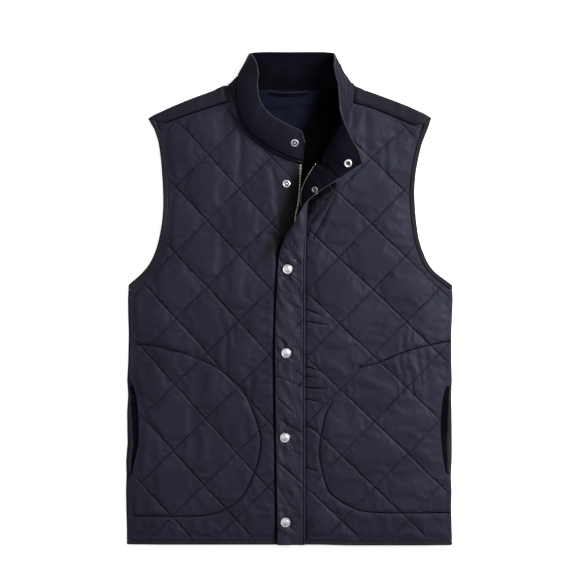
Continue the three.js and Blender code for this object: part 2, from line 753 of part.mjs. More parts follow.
function buildHemBindings() {
  const low = (x, y) => innerHeight(x, y) - 0.05;
  const high = (x, y) => innerHeight(x, y) + FRONT_WALL + HEM_PROUD;
  const band = (x0, x1) => block({ x0, x1, y0: HEM_Y, y1: HEM_Y + HEM_BINDING });
  const pieces = [
    { name: 'hem_binding_front_right', x0: -SIDE_X, x1: RIGHT_EDGE_X },
    { name: 'hem_binding_front_left', x0: PLACKET_X - PLACKET_LAP, x1: SIDE_X },
  ];
  for (const piece of pieces) {
    const grid = squareGrid(piece.x0 - 4, piece.x1 + 4, HEM_Y - 2, HEM_Y + HEM_BINDING + 4, HEM_STEP);
    add(piece.name, geometryFrom(layer(band(piece.x0, piece.x1), low, high, grid, grid)), TRIM);
  }
  add('hem_binding_back', geometryFrom(prism(band(-HALF_WIDTH, HALF_WIDTH), 0, BACK_THICK)), TRIM);
}

// The highest point of a built piece within reach of a place, found by looking down on it.
function restHeight(mesh, x, y, reach) {
  const ray = new THREE.Raycaster();
  const down = new THREE.Vector3(0, 0, -1);
  let high = 0;
  for (let i = 0; i < 36; i += 1) {
    const angle = (Math.PI * i) / 6;
    const radius = (reach * Math.floor(i / 12 + 1)) / 3;
    ray.set(new THREE.Vector3(x + radius * Math.cos(angle), y + radius * Math.sin(angle), OVER), down);
    const hits = ray.intersectObject(mesh);
    high = hits.length > 0 ? Math.max(high, hits[0].point.z) : high;
  }
  return high;
}

function highestNear(top, x, y, reach) {
  let high = top(x, y);
  for (let i = 0; i < 12; i += 1) {
    const angle = (Math.PI * i) / 6;
    high = Math.max(high, top(x + reach * Math.cos(angle), y + reach * Math.sin(angle)));
  }
  return high;
}

// Surfaces through the section tables.
function tableCurve(rows, x, y, z) {
  return new THREE.CatmullRomCurve3(rows.map((row) => new THREE.Vector3(row[x], row[y], row[z])));
}

const placketSeamEdge = tableCurve(PLACKET_ROWS, 'sx', 'sy', 'sz');
const placketMiddle = tableCurve(PLACKET_ROWS, 'mx', 'my', 'mz');
const placketFreeEdge = tableCurve(PLACKET_ROWS, 'fx', 'fy', 'fz');

// s runs up the placket and v from the seam to the free edge.
function placketSurface(s, v) {
  const seam = placketSeamEdge.getPoint(s);
  const middle = placketMiddle.getPoint(s);
  const free = placketFreeEdge.getPoint(s);
  const control = middle.multiplyScalar(2).addScaledVector(seam, -0.5).addScaledVector(free, -0.5);
  return seam
    .multiplyScalar((1 - v) ** 2)
    .addScaledVector(control, 2 * v * (1 - v))
    .addScaledVector(free, v * v);
}

function buildPlacket() {
  add('placket', thickSheet(42, 7, placketSurface, PLACKET_THICK), NAVY);
}

// The neck seam stands clear of the front that it is sewn to.
const seatedRows = COLLAR_ROWS.map((row) => {
  const top = row.nx < 30 ? rightTop : leftTop;
  const onFront = row.ny < ON_FRONTS_Y;
  const seat = onFront ? highestNear(top, row.nx, row.ny, SEAT_REACH) + COLLAR_THICK / 2 + SEAM_GAP : 0;
  return { ...row, nz: Math.max(row.nz, seat) };
});
const collarSeam = tableCurve(seatedRows, 'nx', 'ny', 'nz');
const collarEdge = tableCurve(COLLAR_ROWS, 'tx', 'ty', 'tz');
const collarBow = new THREE.CatmullRomCurve3(COLLAR_ROWS.map((row) => new THREE.Vector3(row.bow, 0, 0)));

function collarTuck(s, v) {
  let depth = 0;
  for (const tuck of COLLAR_TUCKS) {
    depth += tuck.depth * Math.exp(-(((s - tuck.at) / tuck.reach) ** 2));
  }
  return depth * (v / TUCK_PEAK) * Math.exp(1 - v / TUCK_PEAK) * (1 - v);
}

// s runs from the right end round the neck and v from the neck seam to the free edge.
function collarSurface(s, v) {
  const seam = collarSeam.getPoint(s);
  const edge = collarEdge.getPoint(s);
  const span = edge.clone().sub(seam);
  const ahead = collarSeam.getPoint(Math.min(1, s + 0.01)).sub(collarSeam.getPoint(Math.max(0, s - 0.01)));
  const outward = span.clone().cross(ahead).normalize();
  const bow = collarBow.getPoint(s).x * 4 * v * (1 - v) - collarTuck(s, v);
  const point = seam.addScaledVector(span, v).addScaledVector(outward, bow);
  point.z = Math.max(point.z, COLLAR_THICK / 2 + SEAM_GAP / 3);
  return point;
}

function buildCollar() {
  add('collar', thickSheet(64, 5, collarSurface, COLLAR_THICK), COLLAR_NAVY);
}

// Zip tapes: one along the edge of the right front, one on the inner face of the placket.
function buildZip() {
  const edge = splined(RIGHT_FRONT_EDGE, 24);
  const outline = [...shifted(edge, -SEAM_GAP), ...reversed(shifted(edge, -(SEAM_GAP + TAPE_WIDE)))];
  const middle = (x, y) => innerHeight(x, y) + FRONT_WALL / 2;
  const grid = squareGrid(0, 30, -380, 215, TAPE_STEP);
  const tape = layer(
    outline,
    (x, y) => middle(x, y) - TAPE_THICK / 2,
    (x, y) => middle(x, y) + TAPE_THICK / 2,
    grid,
    grid,
  );
  add('zip_tape_right', geometryFrom(tape), ZIP_TAPE);
  const away = PLACKET_THICK / 2 + 2 * SEAM_GAP + TAPE_THICK / 2;
  const tapeSurface = (s, v) => surfacePoint(
    placketSurface,
    LEFT_TAPE.s + LEFT_TAPE.along * s,
    LEFT_TAPE.v + LEFT_TAPE.across * v,
    away * innerSide,
  );
  add('zip_tape_left', thickSheet(36, 3, tapeSurface, TAPE_THICK), ZIP_TAPE);
}

// The placket's surface normal points out of the garment or into it; snaps and tape need the inner side.
const innerSide = -Math.sign(surfacePoint(placketSurface, 0.1, 0.5, 1).z - placketSurface(0.1, 0.5).z);

function buildSlider() {
  const shape = new THREE.Shape(SLIDER_OUTLINE.map((p) => new THREE.Vector2(p.x, p.y)));
  const geometry = new THREE.ExtrudeGeometry(shape, { depth: SLIDER_THICK, bevelEnabled: false });
  const slider = add('zip_slider', geometry, BRASS, 0.35, 0.9);
  slider.position.set(SLIDER_SPOT.x, SLIDER_SPOT.y, SLIDER_SPOT.z);
}

// Snap parts are turned about their own axis and stand on a surface.
function turned(profile) {
  const geometry = new THREE.LatheGeometry(profile.map((p) => new THREE.Vector2(p[0], p[1])), 16);
  geometry.rotateX(Math.PI / 2);
  return geometry;
}

const CAP_PROFILE = [
  [0, 0], [CAP_RADIUS - 0.5, 0], [CAP_RADIUS, 0.5], [CAP_RADIUS - 0.5, 1.1], [4.4, 1.9], [0, 2.2],
];
const HIDDEN_STUD_PROFILE = [[0, 0], [STUD_RADIUS, 0], [STUD_RADIUS, 0.5], [2.2, 0.5], [2, 0.9], [0, 0.9]];
const STUD_PROFILE = [
  [0, 0], [STUD_RADIUS, 0], [STUD_RADIUS, 0.8], [4.9, 1.3], [3.2, 0.9], [2.2, 1], [2, 2.4], [1.3, 2.8],
  [0, 2.8],
];
const SOCKET_PROFILE = [
  [0, 0], [SOCKET_RADIUS, 0], [SOCKET_RADIUS, 0.9], [5.6, 1.8], [3.6, 2], [2.5, 1.7], [2.3, 0.7], [0, 0.7],
];

function standing(name, profile, point, normal) {
  const mesh = add(name, turned(profile), NICKEL, 0.3, 1);
  mesh.position.copy(point);
  mesh.quaternion.setFromUnitVectors(new THREE.Vector3(0, 0, 1), normal.clone().normalize());
  return mesh;
}

// The parameters where a surface lies nearest to a place in plan.
function nearestOn(surface, target, s0, s1) {
  const steps = 160;
  let best = { gap: Infinity };
  for (let i = 0; i <= steps; i += 1) {
    for (let j = 4; j <= 36; j += 1) {
      const s = s0 + ((s1 - s0) * i) / steps;
      const p = surface(s, j / 40);
      const gap = Math.hypot(p.x - target.x, p.y - target.y);
      if (gap < best.gap) {
        best = { gap, s, v: j / 40 };
      }
    }
  }
  return best;
}

function standOn(name, profile, surface, at, side, thickness, clearance) {
  const foot = surfacePoint(surface, at.s, at.v, side * (thickness / 2 + clearance));
  const head = surfacePoint(surface, at.s, at.v, side * (thickness / 2 + clearance + 5));
  standing(name, profile, foot, head.sub(foot));
}

function buildSnaps(frontRight) {
  const up = new THREE.Vector3(0, 0, 1);
  CLOSED_SNAPS.forEach((snap, i) => {
    const high = PLACKET_Z + PLACKET_THICK / 2 + CAP_CLEAR;
    standing(`snap_cap_${i + 1}`, CAP_PROFILE, new THREE.Vector3(snap.x, snap.y, high), up);
    const low = restHeight(frontRight, snap.x, snap.y, STUD_RADIUS) + SEAM_GAP;
    standing(`snap_stud_${i + 1}`, HIDDEN_STUD_PROFILE, new THREE.Vector3(snap.x, snap.y, low), up);
  });
  const studZ = restHeight(frontRight, TOP_STUD.x, TOP_STUD.y, STUD_RADIUS) + SEAM_GAP;
  standing('snap_stud_top', STUD_PROFILE, new THREE.Vector3(TOP_STUD.x, TOP_STUD.y, studZ), up);
  const collarStud = nearestOn(collarSurface, COLLAR_STUD, 0, 0.3);
  const collarUp = Math.sign(surfacePoint(collarSurface, collarStud.s, collarStud.v, 1).z
    - collarSurface(collarStud.s, collarStud.v).z);
  const onCollar = (name, profile, at, side, clearance) => {
    standOn(name, profile, collarSurface, at, side, COLLAR_THICK, clearance);
  };
  onCollar('snap_stud_collar', STUD_PROFILE, collarStud, collarUp, COLLAR_STUD_CLEAR);
  const collarSocket = nearestOn(collarSurface, COLLAR_SOCKET, 0.85, 1);
  onCollar('snap_socket_collar', SOCKET_PROFILE, collarSocket, -collarUp, COLLAR_SOCKET_CLEAR);
  onCollar('snap_cap_collar', CAP_PROFILE, collarSocket, collarUp, COLLAR_CAP_CLEAR);
  const topSocket = nearestOn(placketSurface, TOP_SOCKET, 0.7, 1);
  const onPlacket = (name, profile, side) => {
    standOn(name, profile, placketSurface, topSocket, side, PLACKET_THICK, TOP_SOCKET_CLEAR);
  };
  onPlacket('snap_socket_top', SOCKET_PROFILE, innerSide);
  onPlacket('snap_cap_top', CAP_PROFILE, -innerSide);
}

function buildLoop() {
  const middle = new THREE.CatmullRomCurve3(LOOP_ROWS.map((row) => new THREE.Vector3(row.x, row.y, row.z)));
  const surface = (s, v) => {
    const p = middle.getPoint(s);
    return p.add(new THREE.Vector3(0, (v - 0.5) * LOOP_WIDE, LOOP_TILT * (v - 0.5)));
  };
  add('locker_loop', thickSheet(10, 1, surface, LINING_THICK), TRIM);
}

buildBack();
buildLining();
buildPockets();
const frontRight = buildFronts();
buildPlacket();
buildCollar();
buildZip();
buildSlider();
buildArmholeBindings();
buildHemBindings();
buildLoop();
buildSnaps(frontRight);

export default garment;
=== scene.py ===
"""A navy quilted vest laid flat on its back, fronts up, with its neck turned open.

Everything is worked out in millimetres: X runs across the chest, Y from hem to collar and Z up
from the table. "Right" and "left" are the wearer's, so the right front lies at negative X.
"""
import logging
import math
from dataclasses import dataclass, field, replace
from enum import Enum
from typing import Callable, Iterator

import bpy
import numpy as np
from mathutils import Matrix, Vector
from mathutils.geometry import delaunay_2d_cdt


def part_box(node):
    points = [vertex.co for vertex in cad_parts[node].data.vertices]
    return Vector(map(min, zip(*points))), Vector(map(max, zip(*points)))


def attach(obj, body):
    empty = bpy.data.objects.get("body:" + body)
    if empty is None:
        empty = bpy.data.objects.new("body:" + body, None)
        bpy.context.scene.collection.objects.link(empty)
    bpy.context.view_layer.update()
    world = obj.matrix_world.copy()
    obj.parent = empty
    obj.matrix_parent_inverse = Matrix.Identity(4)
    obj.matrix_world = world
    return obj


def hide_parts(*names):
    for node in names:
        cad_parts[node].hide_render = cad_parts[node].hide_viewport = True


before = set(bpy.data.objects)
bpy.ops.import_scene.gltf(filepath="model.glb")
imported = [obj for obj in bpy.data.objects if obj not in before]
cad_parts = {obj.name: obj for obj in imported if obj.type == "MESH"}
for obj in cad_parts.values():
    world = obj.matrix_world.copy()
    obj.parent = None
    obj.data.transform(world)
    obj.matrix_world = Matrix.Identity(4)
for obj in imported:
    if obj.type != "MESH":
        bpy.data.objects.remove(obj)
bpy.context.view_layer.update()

log = logging.getLogger("vest")

MM = 0.001
SIMULATED_FRAMES = 20
UP = np.array([0, 0, 1.0])
DOWN = np.array([0, 0, -1.0])

# The lining is painted in shade towards the neck opening, across a slanting line: its slope, and where the
# painted shade starts and ends.
PAINTED_NECK_SHADE = (0.49, 100.0, 122.0)

Height = Callable[[np.ndarray], np.ndarray]


class Side(Enum):
    """The wearer's two sides, with the sign of X on which each lies."""

    RIGHT = -1
    LEFT = 1

    @property
    def word(self) -> str:
        """The side as the names of pieces say it."""
        return self.name.lower()


class Slot(Enum):
    """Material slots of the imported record."""

    SHELL = "shell"
    COLLAR = "collar"
    LINING = "lining"
    TRIM = "trim"
    TAPE = "tape"
    ZIP_METAL = "zip_metal"
    SNAP_METAL = "snap_metal"


# Small maths on arrays of points.


def smooth(value: np.ndarray | float) -> np.ndarray:
    """An even step from 0 to 1 as the value goes from 0 to 1."""
    t = np.clip(value, 0.0, 1.0)
    return t * t * (3 - 2 * t)


def unit(rows: np.ndarray) -> np.ndarray:
    """Directions, one row each, at a length of one."""
    return rows / np.linalg.norm(rows, axis=1)[:, None]


def grid(x: np.ndarray, y: np.ndarray) -> np.ndarray:
    """Places in plan, one for each pair of an x and a y."""
    across, up = np.meshgrid(x, y)
    return np.column_stack([across.ravel(), up.ravel()])


def segment_distance(points: np.ndarray, a: np.ndarray, b: np.ndarray) -> np.ndarray:
    """Distances from points to one straight segment.

    Args:
        points: Places in plan, one row each.
        a: One end.
        b: The other end.

    Returns:
        One distance a point.
    """
    along = b - a
    t = np.clip(((points - a) @ along) / max(along @ along, 1e-9), 0, 1)
    return np.linalg.norm(points - a - t[:, None] * along, axis=1)


def line_distance(points: np.ndarray, line: np.ndarray) -> np.ndarray:
    """Distances from points to a line of segments.

    Args:
        points: Places in plan.
        line: The line's corners in order.

    Returns:
        One distance a point.
    """
    best = np.full(len(points), np.inf)
    for a, b in zip(line[:-1], line[1:]):
        best = np.minimum(best, segment_distance(points, a, b))
    return best


def closed(loop: np.ndarray) -> np.ndarray:
    """A loop with its first point repeated at its end."""
    return np.vstack([loop, loop[:1]])


def inside(points: np.ndarray, loop: np.ndarray) -> np.ndarray:
    """Which points lie inside a loop.

    Args:
        points: Places in plan.
        loop: The loop's corners.

    Returns:
        One truth value a point.
    """
    odd = np.zeros(len(points), bool)
    x, y = points[:, 0], points[:, 1]
    ring = closed(loop)
    for (x0, y0), (x1, y1) in zip(ring[:-1], ring[1:]):
        if y0 == y1:
            continue
        crosses = (y0 > y) != (y1 > y)
        odd ^= crosses & (x < (x1 - x0) * (y - y0) / (y1 - y0) + x0)
    return odd


def shifted(line: np.ndarray, distance: float) -> np.ndarray:
    """A line moved sideways, to its left when the distance is positive.

    Args:
        line: The line's points.
        distance: How far, in millimetres.

    Returns:
        The moved points.
    """
    ahead = np.vstack([line[1:], line[-1:]])
    behind = np.vstack([line[:1], line[:-1]])
    run = unit(ahead - behind)
    return line + distance * np.column_stack([-run[:, 1], run[:, 0]])


def dense(line: np.ndarray, step: float) -> np.ndarray:
    """A line with points added so that none are further apart than a step.

    Args:
        line: The line's points, in plan or in space.
        step: The longest run between two points.

    Returns:
        The finer line, with every old point kept.
    """
    made = [line[:1]]
    for a, b in zip(line[:-1], line[1:]):
        count = max(1, math.ceil(np.linalg.norm(b - a) / step))
        t = (np.arange(count) + 1)[:, None] / count
        made.append(a + t * (b - a))
    return np.vstack(made)


def reaches(path: np.ndarray) -> np.ndarray:
    """How far along a path each of its points lies."""
    return np.concatenate([[0], np.cumsum(np.linalg.norm(np.diff(path, axis=0), axis=1))])


def read_off(values: np.ndarray, reach: np.ndarray, table: np.ndarray) -> np.ndarray:
    """Rows of a table in space, read off at distances along a path.

    Args:
        values: The distances.
        reach: The distance of each row of the table.
        table: The table's rows.

    Returns:
        One row a distance.
    """
    return np.column_stack([np.interp(values, reach, table[:, k]) for k in range(3)])


def kept_runs(path: np.ndarray, keep: np.ndarray, least: int) -> Iterator[np.ndarray]:
    """The unbroken runs of a path's kept points.

    Args:
        path: The path's points.
        keep: Which of them are kept.
        least: Runs that don't hold more points than this are left out.

    Yields:
        The points of each run.
    """
    edges = np.flatnonzero(np.diff(np.concatenate([[0], keep.astype(int), [0]])))
    for start, end in zip(edges[::2], edges[1::2]):
        if end - start > least:
            yield path[start:end]


def ring_sides(rings: int, count: int) -> list[list[int]]:
    """Faces between rings of points that are numbered ring by ring.

    Args:
        rings: How many rings there are.
        count: Points of each ring.

    Returns:
        Four corner numbers a face.
    """
    sides = []
    for r in range(rings - 1):
        for k in range(count):
            j = (k + 1) % count
            sides.append([count * r + k, count * r + j, count * (r + 1) + j, count * (r + 1) + k])
    return sides


def counter_clockwise(loop: np.ndarray) -> np.ndarray:
    """A loop turned, where needed, to run counter-clockwise."""
    ahead = np.roll(loop, -1, axis=0)
    area = (loop[:, 0] * ahead[:, 1] - ahead[:, 0] * loop[:, 1]).sum()
    return loop if area > 0 else loop[::-1]


def folded(points: np.ndarray) -> np.ndarray:
    """Places in plan with the right side laid over the left one."""
    return np.column_stack([np.abs(points[:, 0]), points[:, 1]])


def mirrored(points: np.ndarray) -> np.ndarray:
    """Points on the other side of the middle of the garment."""
    return points * np.array([-1.0] + [1.0] * (points.shape[1] - 1))


class Curve:
    """A smooth line through a table of points, even along short and long runs alike."""

    def __init__(self, points: list[tuple[float, ...]]) -> None:
        """Keeps the points that the line passes."""
        self.points = np.array(points, float)

    def at(self, t: np.ndarray | float) -> np.ndarray:
        """Points of the line.

        Args:
            t: Places along the line, from 0 at its start to 1 at its end.

        Returns:
            One row a place.
        """
        t = np.atleast_1d(np.asarray(t, float))
        pts = self.points
        last = len(pts) - 1
        place = np.clip(t, 0, 1) * last
        i = np.minimum(place.astype(int), last - 1)
        w = (place - i)[:, None]
        padded = np.vstack([2 * pts[0] - pts[1], pts, 2 * pts[-1] - pts[-2]])
        p0, p1, p2, p3 = padded[i], padded[i + 1], padded[i + 2], padded[i + 3]
        d0, d1, d2 = (
            np.sqrt(np.linalg.norm(b - a, axis=1))[:, None]
            for a, b in ((p0, p1), (p1, p2), (p2, p3))
        )
        d1 = np.where(d1 < 1e-4, 1.0, d1)
        d0 = np.where(d0 < 1e-4, d1, d0)
        d2 = np.where(d2 < 1e-4, d1, d2)
        t1 = ((p1 - p0) / d0 - (p2 - p0) / (d0 + d1) + (p2 - p1) / d1) * d1
        t2 = ((p2 - p1) / d1 - (p3 - p1) / (d1 + d2) + (p3 - p2) / d2) * d1
        return (
            p1
            + t1 * w
            + (-3 * p1 + 3 * p2 - 2 * t1 - t2) * w**2
            + (2 * p1 - 2 * p2 + t1 + t2) * w**3
        )

    def run(self, steps: int) -> np.ndarray:
        """Points at even places along the line, both ends included."""
        return self.at(np.linspace(0, 1, steps + 1))


class SoftNoise:
    """Smooth random rises and dips, the same at each run."""

    def __init__(self, seed: int, size: float) -> None:
        """Draws the noise.

        Args:
            seed: Which noise it is.
            size: Distance between two random values, in millimetres.
        """
        self.values = np.random.default_rng(seed).uniform(-1, 1, (96, 96))
        self.size = size

    def at(self, x: np.ndarray, y: np.ndarray) -> np.ndarray:
        """The noise at places in plan.

        Args:
            x: Their first measure.
            y: Their second one.

        Returns:
            Values from -1 to 1.
        """
        gx, gy = np.asarray(x) / self.size + 500.3, np.asarray(y) / self.size + 500.7
        i, j = np.floor(gx).astype(int), np.floor(gy).astype(int)
        u, v = smooth(gx - i), smooth(gy - j)
        n = len(self.values)
        a, b = self.values[i % n, j % n], self.values[(i + 1) % n, j % n]
        c, d = self.values[i % n, (j + 1) % n], self.values[(i + 1) % n, (j + 1) % n]
        return (a + (b - a) * u) * (1 - v) + (c + (d - c) * u) * v


# Meshes.

# How far the outline sways as the vest lies: height on the garment, then the right side's and the left
# side's move along X.
SWAY = (
    (-383, 0.0, 2.6), (-360, 0.0, 2.0), (-330, -0.9, 1.1), (-300, -1.4, 1.7), (-276, -0.6, 0.6),
    (-252, -1.2, 2.0), (-226, 1.0, 2.2), (-202, 0.5, 2.0), (-177, 0.3, 1.7), (-152, 2.0, 1.2),
    (-127, 0.5, 2.2), (-102, 1.9, 1.5), (-78, 2.5, 1.4), (-53, 2.9, 1.4), (-28, 2.0, 2.5), (-3, 1.7, 3.6),
    (19, 2.6, 2.8), (43, -1.8, 2.3), (68, -0.9, 2.0), (93, -0.6, 1.2), (118, -0.3, 1.7), (142, -0.5, 1.7),
    (167, -1.2, 1.2), (192, -1.2, 1.5), (217, 0.2, 2.6), (242, 1.6, 3.6), (262, 1.0, 4.2), (278, -1.8, 5.2),
    (295, -1.4, 5.0), (310, -2.0, 3.6), (322, -1.6, 3.2), (334, 1.4, -0.8), (344, 4.2, -2.2),
    (354, 4.0, -2.8), (369, 2.8, -1.5), (383, 1.4, -0.4),
)

# How far the shoulders lie higher (left, right), the left hem lower, and the left shoulder is drawn in.
SHOULDER_RISE = (1.4, 0.3)
HEM_DROP = 1.2
SHOULDER_DRAW = 4.4


def settled(points: np.ndarray) -> np.ndarray:
    """Points with the small sways that the sides, the shoulders and the hem take as the vest lies.

    Args:
        points: Points in millimetres.

    Returns:
        The moved points.
    """
    moved = points.copy()
    x, y = points[:, 0], points[:, 1]
    heights, right, left = np.array(SWAY).T
    sway = np.where(x < 0, np.interp(y, heights, right), np.interp(y, heights, left))
    share = smooth((np.abs(x) - 20) / 170)
    standing = smooth((y - 322) / 16)
    moved[:, 0] += sway * (share + (smooth(np.abs(x) / 60) - share) * standing)
    moved[:, 1] += np.where(x > 0, *SHOULDER_RISE) * smooth((np.abs(x) - 90) / 40) * smooth((y - 255) / 30)
    moved[:, 1] -= HEM_DROP * smooth((x - 40) / 60) * smooth((-340 - y) / 30)
    fold = np.interp(x, *np.array(PATTERN.shoulder).T)
    below = smooth((fold - 1 - y) / 14)
    moved[:, 1] -= SHOULDER_DRAW * smooth((x - 110) / 70) * smooth((y - 232) / 30) * below
    return moved


def new_piece(name: str, points: np.ndarray, faces: list, sharp: float = 50.0) -> bpy.types.Object:
    """Makes an object of the scene from millimetre points.

    Args:
        name: The piece's name.
        points: Points in millimetres.
        faces: Corner numbers of each face.
        sharp: Edges that turn more than this many degrees stay crisp.

    Returns:
        The new object, at the origin.
    """
    mesh = bpy.data.meshes.new(name)
    mesh.from_pydata((settled(points) * MM).tolist(), [], faces)
    mesh.shade_smooth()
    mesh.set_sharp_from_angle(angle=math.radians(sharp))
    piece = bpy.data.objects.new(name, mesh)
    bpy.context.scene.collection.objects.link(piece)
    return piece


class Form:
    """Points and faces of one piece, gathered part by part."""

    def __init__(self) -> None:
        """Starts with nothing in it."""
        self.points: list[np.ndarray] = []
        self.faces: list[list[int]] = []
        self.finish: list[int] = []
        self.size = 0

    def add(self, points: np.ndarray, faces: np.ndarray | list, finish: int | list[int] = 0) -> None:
        """Adds a closed part.

        Args:
            points: The part's points.
            faces: Its faces, numbered from 0.
            finish: Which of the piece's finishes it has, one for all or one a face.
        """
        self.points.append(points)
        self.finish += finish if isinstance(finish, list) else [finish] * len(faces)
        if isinstance(faces, np.ndarray):
            self.faces += (faces + self.size).tolist()
        else:
            self.faces += [[i + self.size for i in f] for f in faces]
        self.size += len(points)

    def piece(self, name: str, sharp: float = 50.0) -> bpy.types.Object:
        """The gathered parts as one object."""
        piece = new_piece(name, np.vstack(self.points), self.faces, sharp)
        piece.data.polygons.foreach_set("material_index", self.finish)
        return piece


def fill(loop: np.ndarray, spots: np.ndarray) -> np.ndarray:
    """Triangles that fill a loop through spots inside it.

    Args:
        loop: The loop's points.
        spots: Points inside it.

    Returns:
        Triangles, counter-clockwise, that number the loop's points first and then the spots.
    """
    flat = np.vstack([loop, spots])
    count = len(loop)
    edges = [(i, (i + 1) % count) for i in range(count)]
    made = delaunay_2d_cdt([Vector(p) for p in flat], edges, [], 1, 1e-5, True)
    source = np.array([ids[0] for ids in made[3]])
    triangles = source[np.array([f for f in made[2] if len(f) == 3])]
    a, b, c = (flat[triangles[:, i]] for i in range(3))
    area = (b[:, 0] - a[:, 0]) * (c[:, 1] - a[:, 1]) - (b[:, 1] - a[:, 1]) * (c[:, 0] - a[:, 0])
    turned = area < 0
    triangles[turned] = triangles[turned][:, ::-1]
    triangles = triangles[np.abs(area) > 1e-7]
    return triangles[inside(flat[triangles].mean(1), loop)]


def rolled(gap: np.ndarray, reach: float) -> np.ndarray:
    """How full a rounded edge is at a distance from it, from 0 at the edge to 1 past its reach."""
    return np.sqrt(1 - (1 - np.clip(gap / reach, 0, 1)) ** 2)


def cloth_wall(
    form: Form,
    loop: np.ndarray,
    spots: np.ndarray,
    top: Height,
    low: Height,
    reach: float = 2.0,
    low_step: float = 14.0,
    finish: Callable[[np.ndarray], np.ndarray] | None = None,
) -> None:
    """Adds a closed wall of cloth with rounded edges.

    Args:
        form: Where the wall is added.
        loop: Its outline, counter-clockwise.
        spots: Points of its outer face, in plan.
        top: Height of the outer face.
        low: Height of the inner face.
        reach: How far the edge's rounding goes in.
        low_step: Distance between points of the inner face.
        finish: Which of the piece's finishes each place has, or none for the first one everywhere.
    """
    ring = closed(loop)
    rims = np.vstack([shifted(ring, reach * share)[:-1] for share in (0.12, 0.4, 0.8)])
    rims = rims[(line_distance(rims, ring) > 0.11 * reach) & inside(rims, loop)]
    spots = spots[inside(spots, loop)]
    spots = spots[line_distance(spots, ring) > 1.25 * reach]
    outer = np.vstack([rims, spots])
    x0, y0 = loop.min(0)
    x1, y1 = loop.max(0)
    inner = grid(np.arange(x0, x1, low_step), np.arange(y0, y1, low_step))
    inner = inner[inside(inner, loop)]
    inner = np.vstack([rims[::2], inner[line_distance(inner, ring) > 2 * reach]])

    def high(points: np.ndarray, side: float) -> np.ndarray:
        """Heights of one face, drawn to the wall's middle along its edge."""
        roof, floor = top(points), low(points)
        middle = (roof + floor) / 2
        return middle + side * (roof - floor) / 2 * rolled(line_distance(points, ring), reach)

    n, m = len(loop), len(outer)
    faces_out = fill(loop, outer)
    faces_in = fill(loop, inner)[:, ::-1].copy()
    faces_in[faces_in >= n] += m
    plan = np.vstack([loop, outer, inner])
    heights = np.concatenate([high(np.vstack([loop, outer]), 1), high(inner, -1)])
    faces = np.vstack([faces_out, faces_in])
    chosen = 0 if finish is None else finish(plan[faces].mean(1)).astype(int).tolist()
    form.add(np.column_stack([plan, heights]), faces, chosen)


def eased(count: int, edge: float) -> np.ndarray:
    """Steps from 0 to 1 with finer ones beside both ends.

    Args:
        count: Even steps between.
        edge: Share of the way that the finer steps take at each end.

    Returns:
        The places, rising.
    """
    fine = edge * np.array([0, 0.08, 0.3, 0.62])
    return np.concatenate([fine, np.linspace(edge, 1 - edge, count + 1), 1 - fine[::-1]])


@dataclass
class Sheet:
    """A wall of cloth of even thickness on a surface of two parameters."""

    at: Callable[[np.ndarray, np.ndarray], np.ndarray]
    thickness: float
    along: np.ndarray
    across: np.ndarray
    relief: Callable[[np.ndarray, np.ndarray, np.ndarray], np.ndarray] | None = None
    turn: float = 1.0
    band: Callable[[np.ndarray, np.ndarray], np.ndarray] | None = None

    def normal(self, s: np.ndarray, v: np.ndarray) -> np.ndarray:
        """Unit normals of the surface.

        Args:
            s: Places along the cloth.
            v: Places across it.

        Returns:
            One direction a place.
        """
        near = 0.003
        run = self.at(np.minimum(s + near, 1), v) - self.at(np.maximum(s - near, 0), v)
        rise = self.at(s, np.minimum(v + near, 1)) - self.at(s, np.maximum(v - near, 0))
        facing = np.cross(run, rise)
        return self.turn * facing / np.maximum(np.linalg.norm(facing, axis=1), 1e-9)[:, None]

    def on(self, s: np.ndarray, v: np.ndarray, lift: float | np.ndarray) -> np.ndarray:
        """Points a little off the middle of the cloth.

        Args:
            s: Places along the cloth.
            v: Places across it.
            lift: Distance off its middle, outwards when positive.

        Returns:
            The points.
        """
        s, v = np.atleast_1d(s).astype(float), np.atleast_1d(v).astype(float)
        middle, facing = self.at(s, v), self.normal(s, v)
        off = np.asarray(lift) * np.ones(len(s))
        if self.relief is not None:
            off = off + self.relief(s, v, middle)
        return middle + facing * off[:, None]

    def build(self, form: Form) -> None:
        """Adds the closed wall, whose edges are rounded.

        Args:
            form: Where it is added.
        """
        s, v = (g.ravel() for g in np.meshgrid(self.along, self.across, indexing="ij"))
        n, m = len(self.along), len(self.across)
        middle = self.on(s, v, 0.0).reshape(n, m, 3)
        facing = self.normal(s, v).reshape(n, m, 3)
        length = np.linalg.norm(np.diff(middle, axis=0), axis=2)
        width = np.linalg.norm(np.diff(middle, axis=1), axis=2)
        down = np.vstack([np.zeros((1, m)), np.cumsum(length, axis=0)])
        over = np.hstack([np.zeros((n, 1)), np.cumsum(width, axis=1)])
        gap = np.minimum(np.minimum(down, down[-1] - down), np.minimum(over, over[:, -1:] - over))
        half = self.thickness / 2 * rolled(gap, self.thickness / 2)[..., None]
        number = np.arange(n * m).reshape(n, m)
        under = number.copy()
        under[1:-1, 1:-1] = n * m + np.arange((n - 2) * (m - 2)).reshape(n - 2, m - 2)
        points = np.vstack([
            (middle + facing * half).reshape(-1, 3),
            (middle - facing * half)[1:-1, 1:-1].reshape(-1, 3),
        ])
        quads = []
        for net, flip in ((number, False), (under, True)):
            a, b, c, d = net[:-1, :-1], net[1:, :-1], net[1:, 1:], net[:-1, 1:]
            face = np.stack([a, b, c, d], axis=-1).reshape(-1, 4)
            quads.append(face[:, ::-1] if flip else face)
        faces = np.vstack(quads)
        outer = np.zeros(len(quads[0]), int)
        if self.band is not None:
            corners = quads[0]
            outer = self.band(s[corners].mean(1), v[corners].mean(1))
        form.add(points, faces if self.turn > 0 else faces[:, ::-1], outer.tolist() + [1] * len(quads[1]))


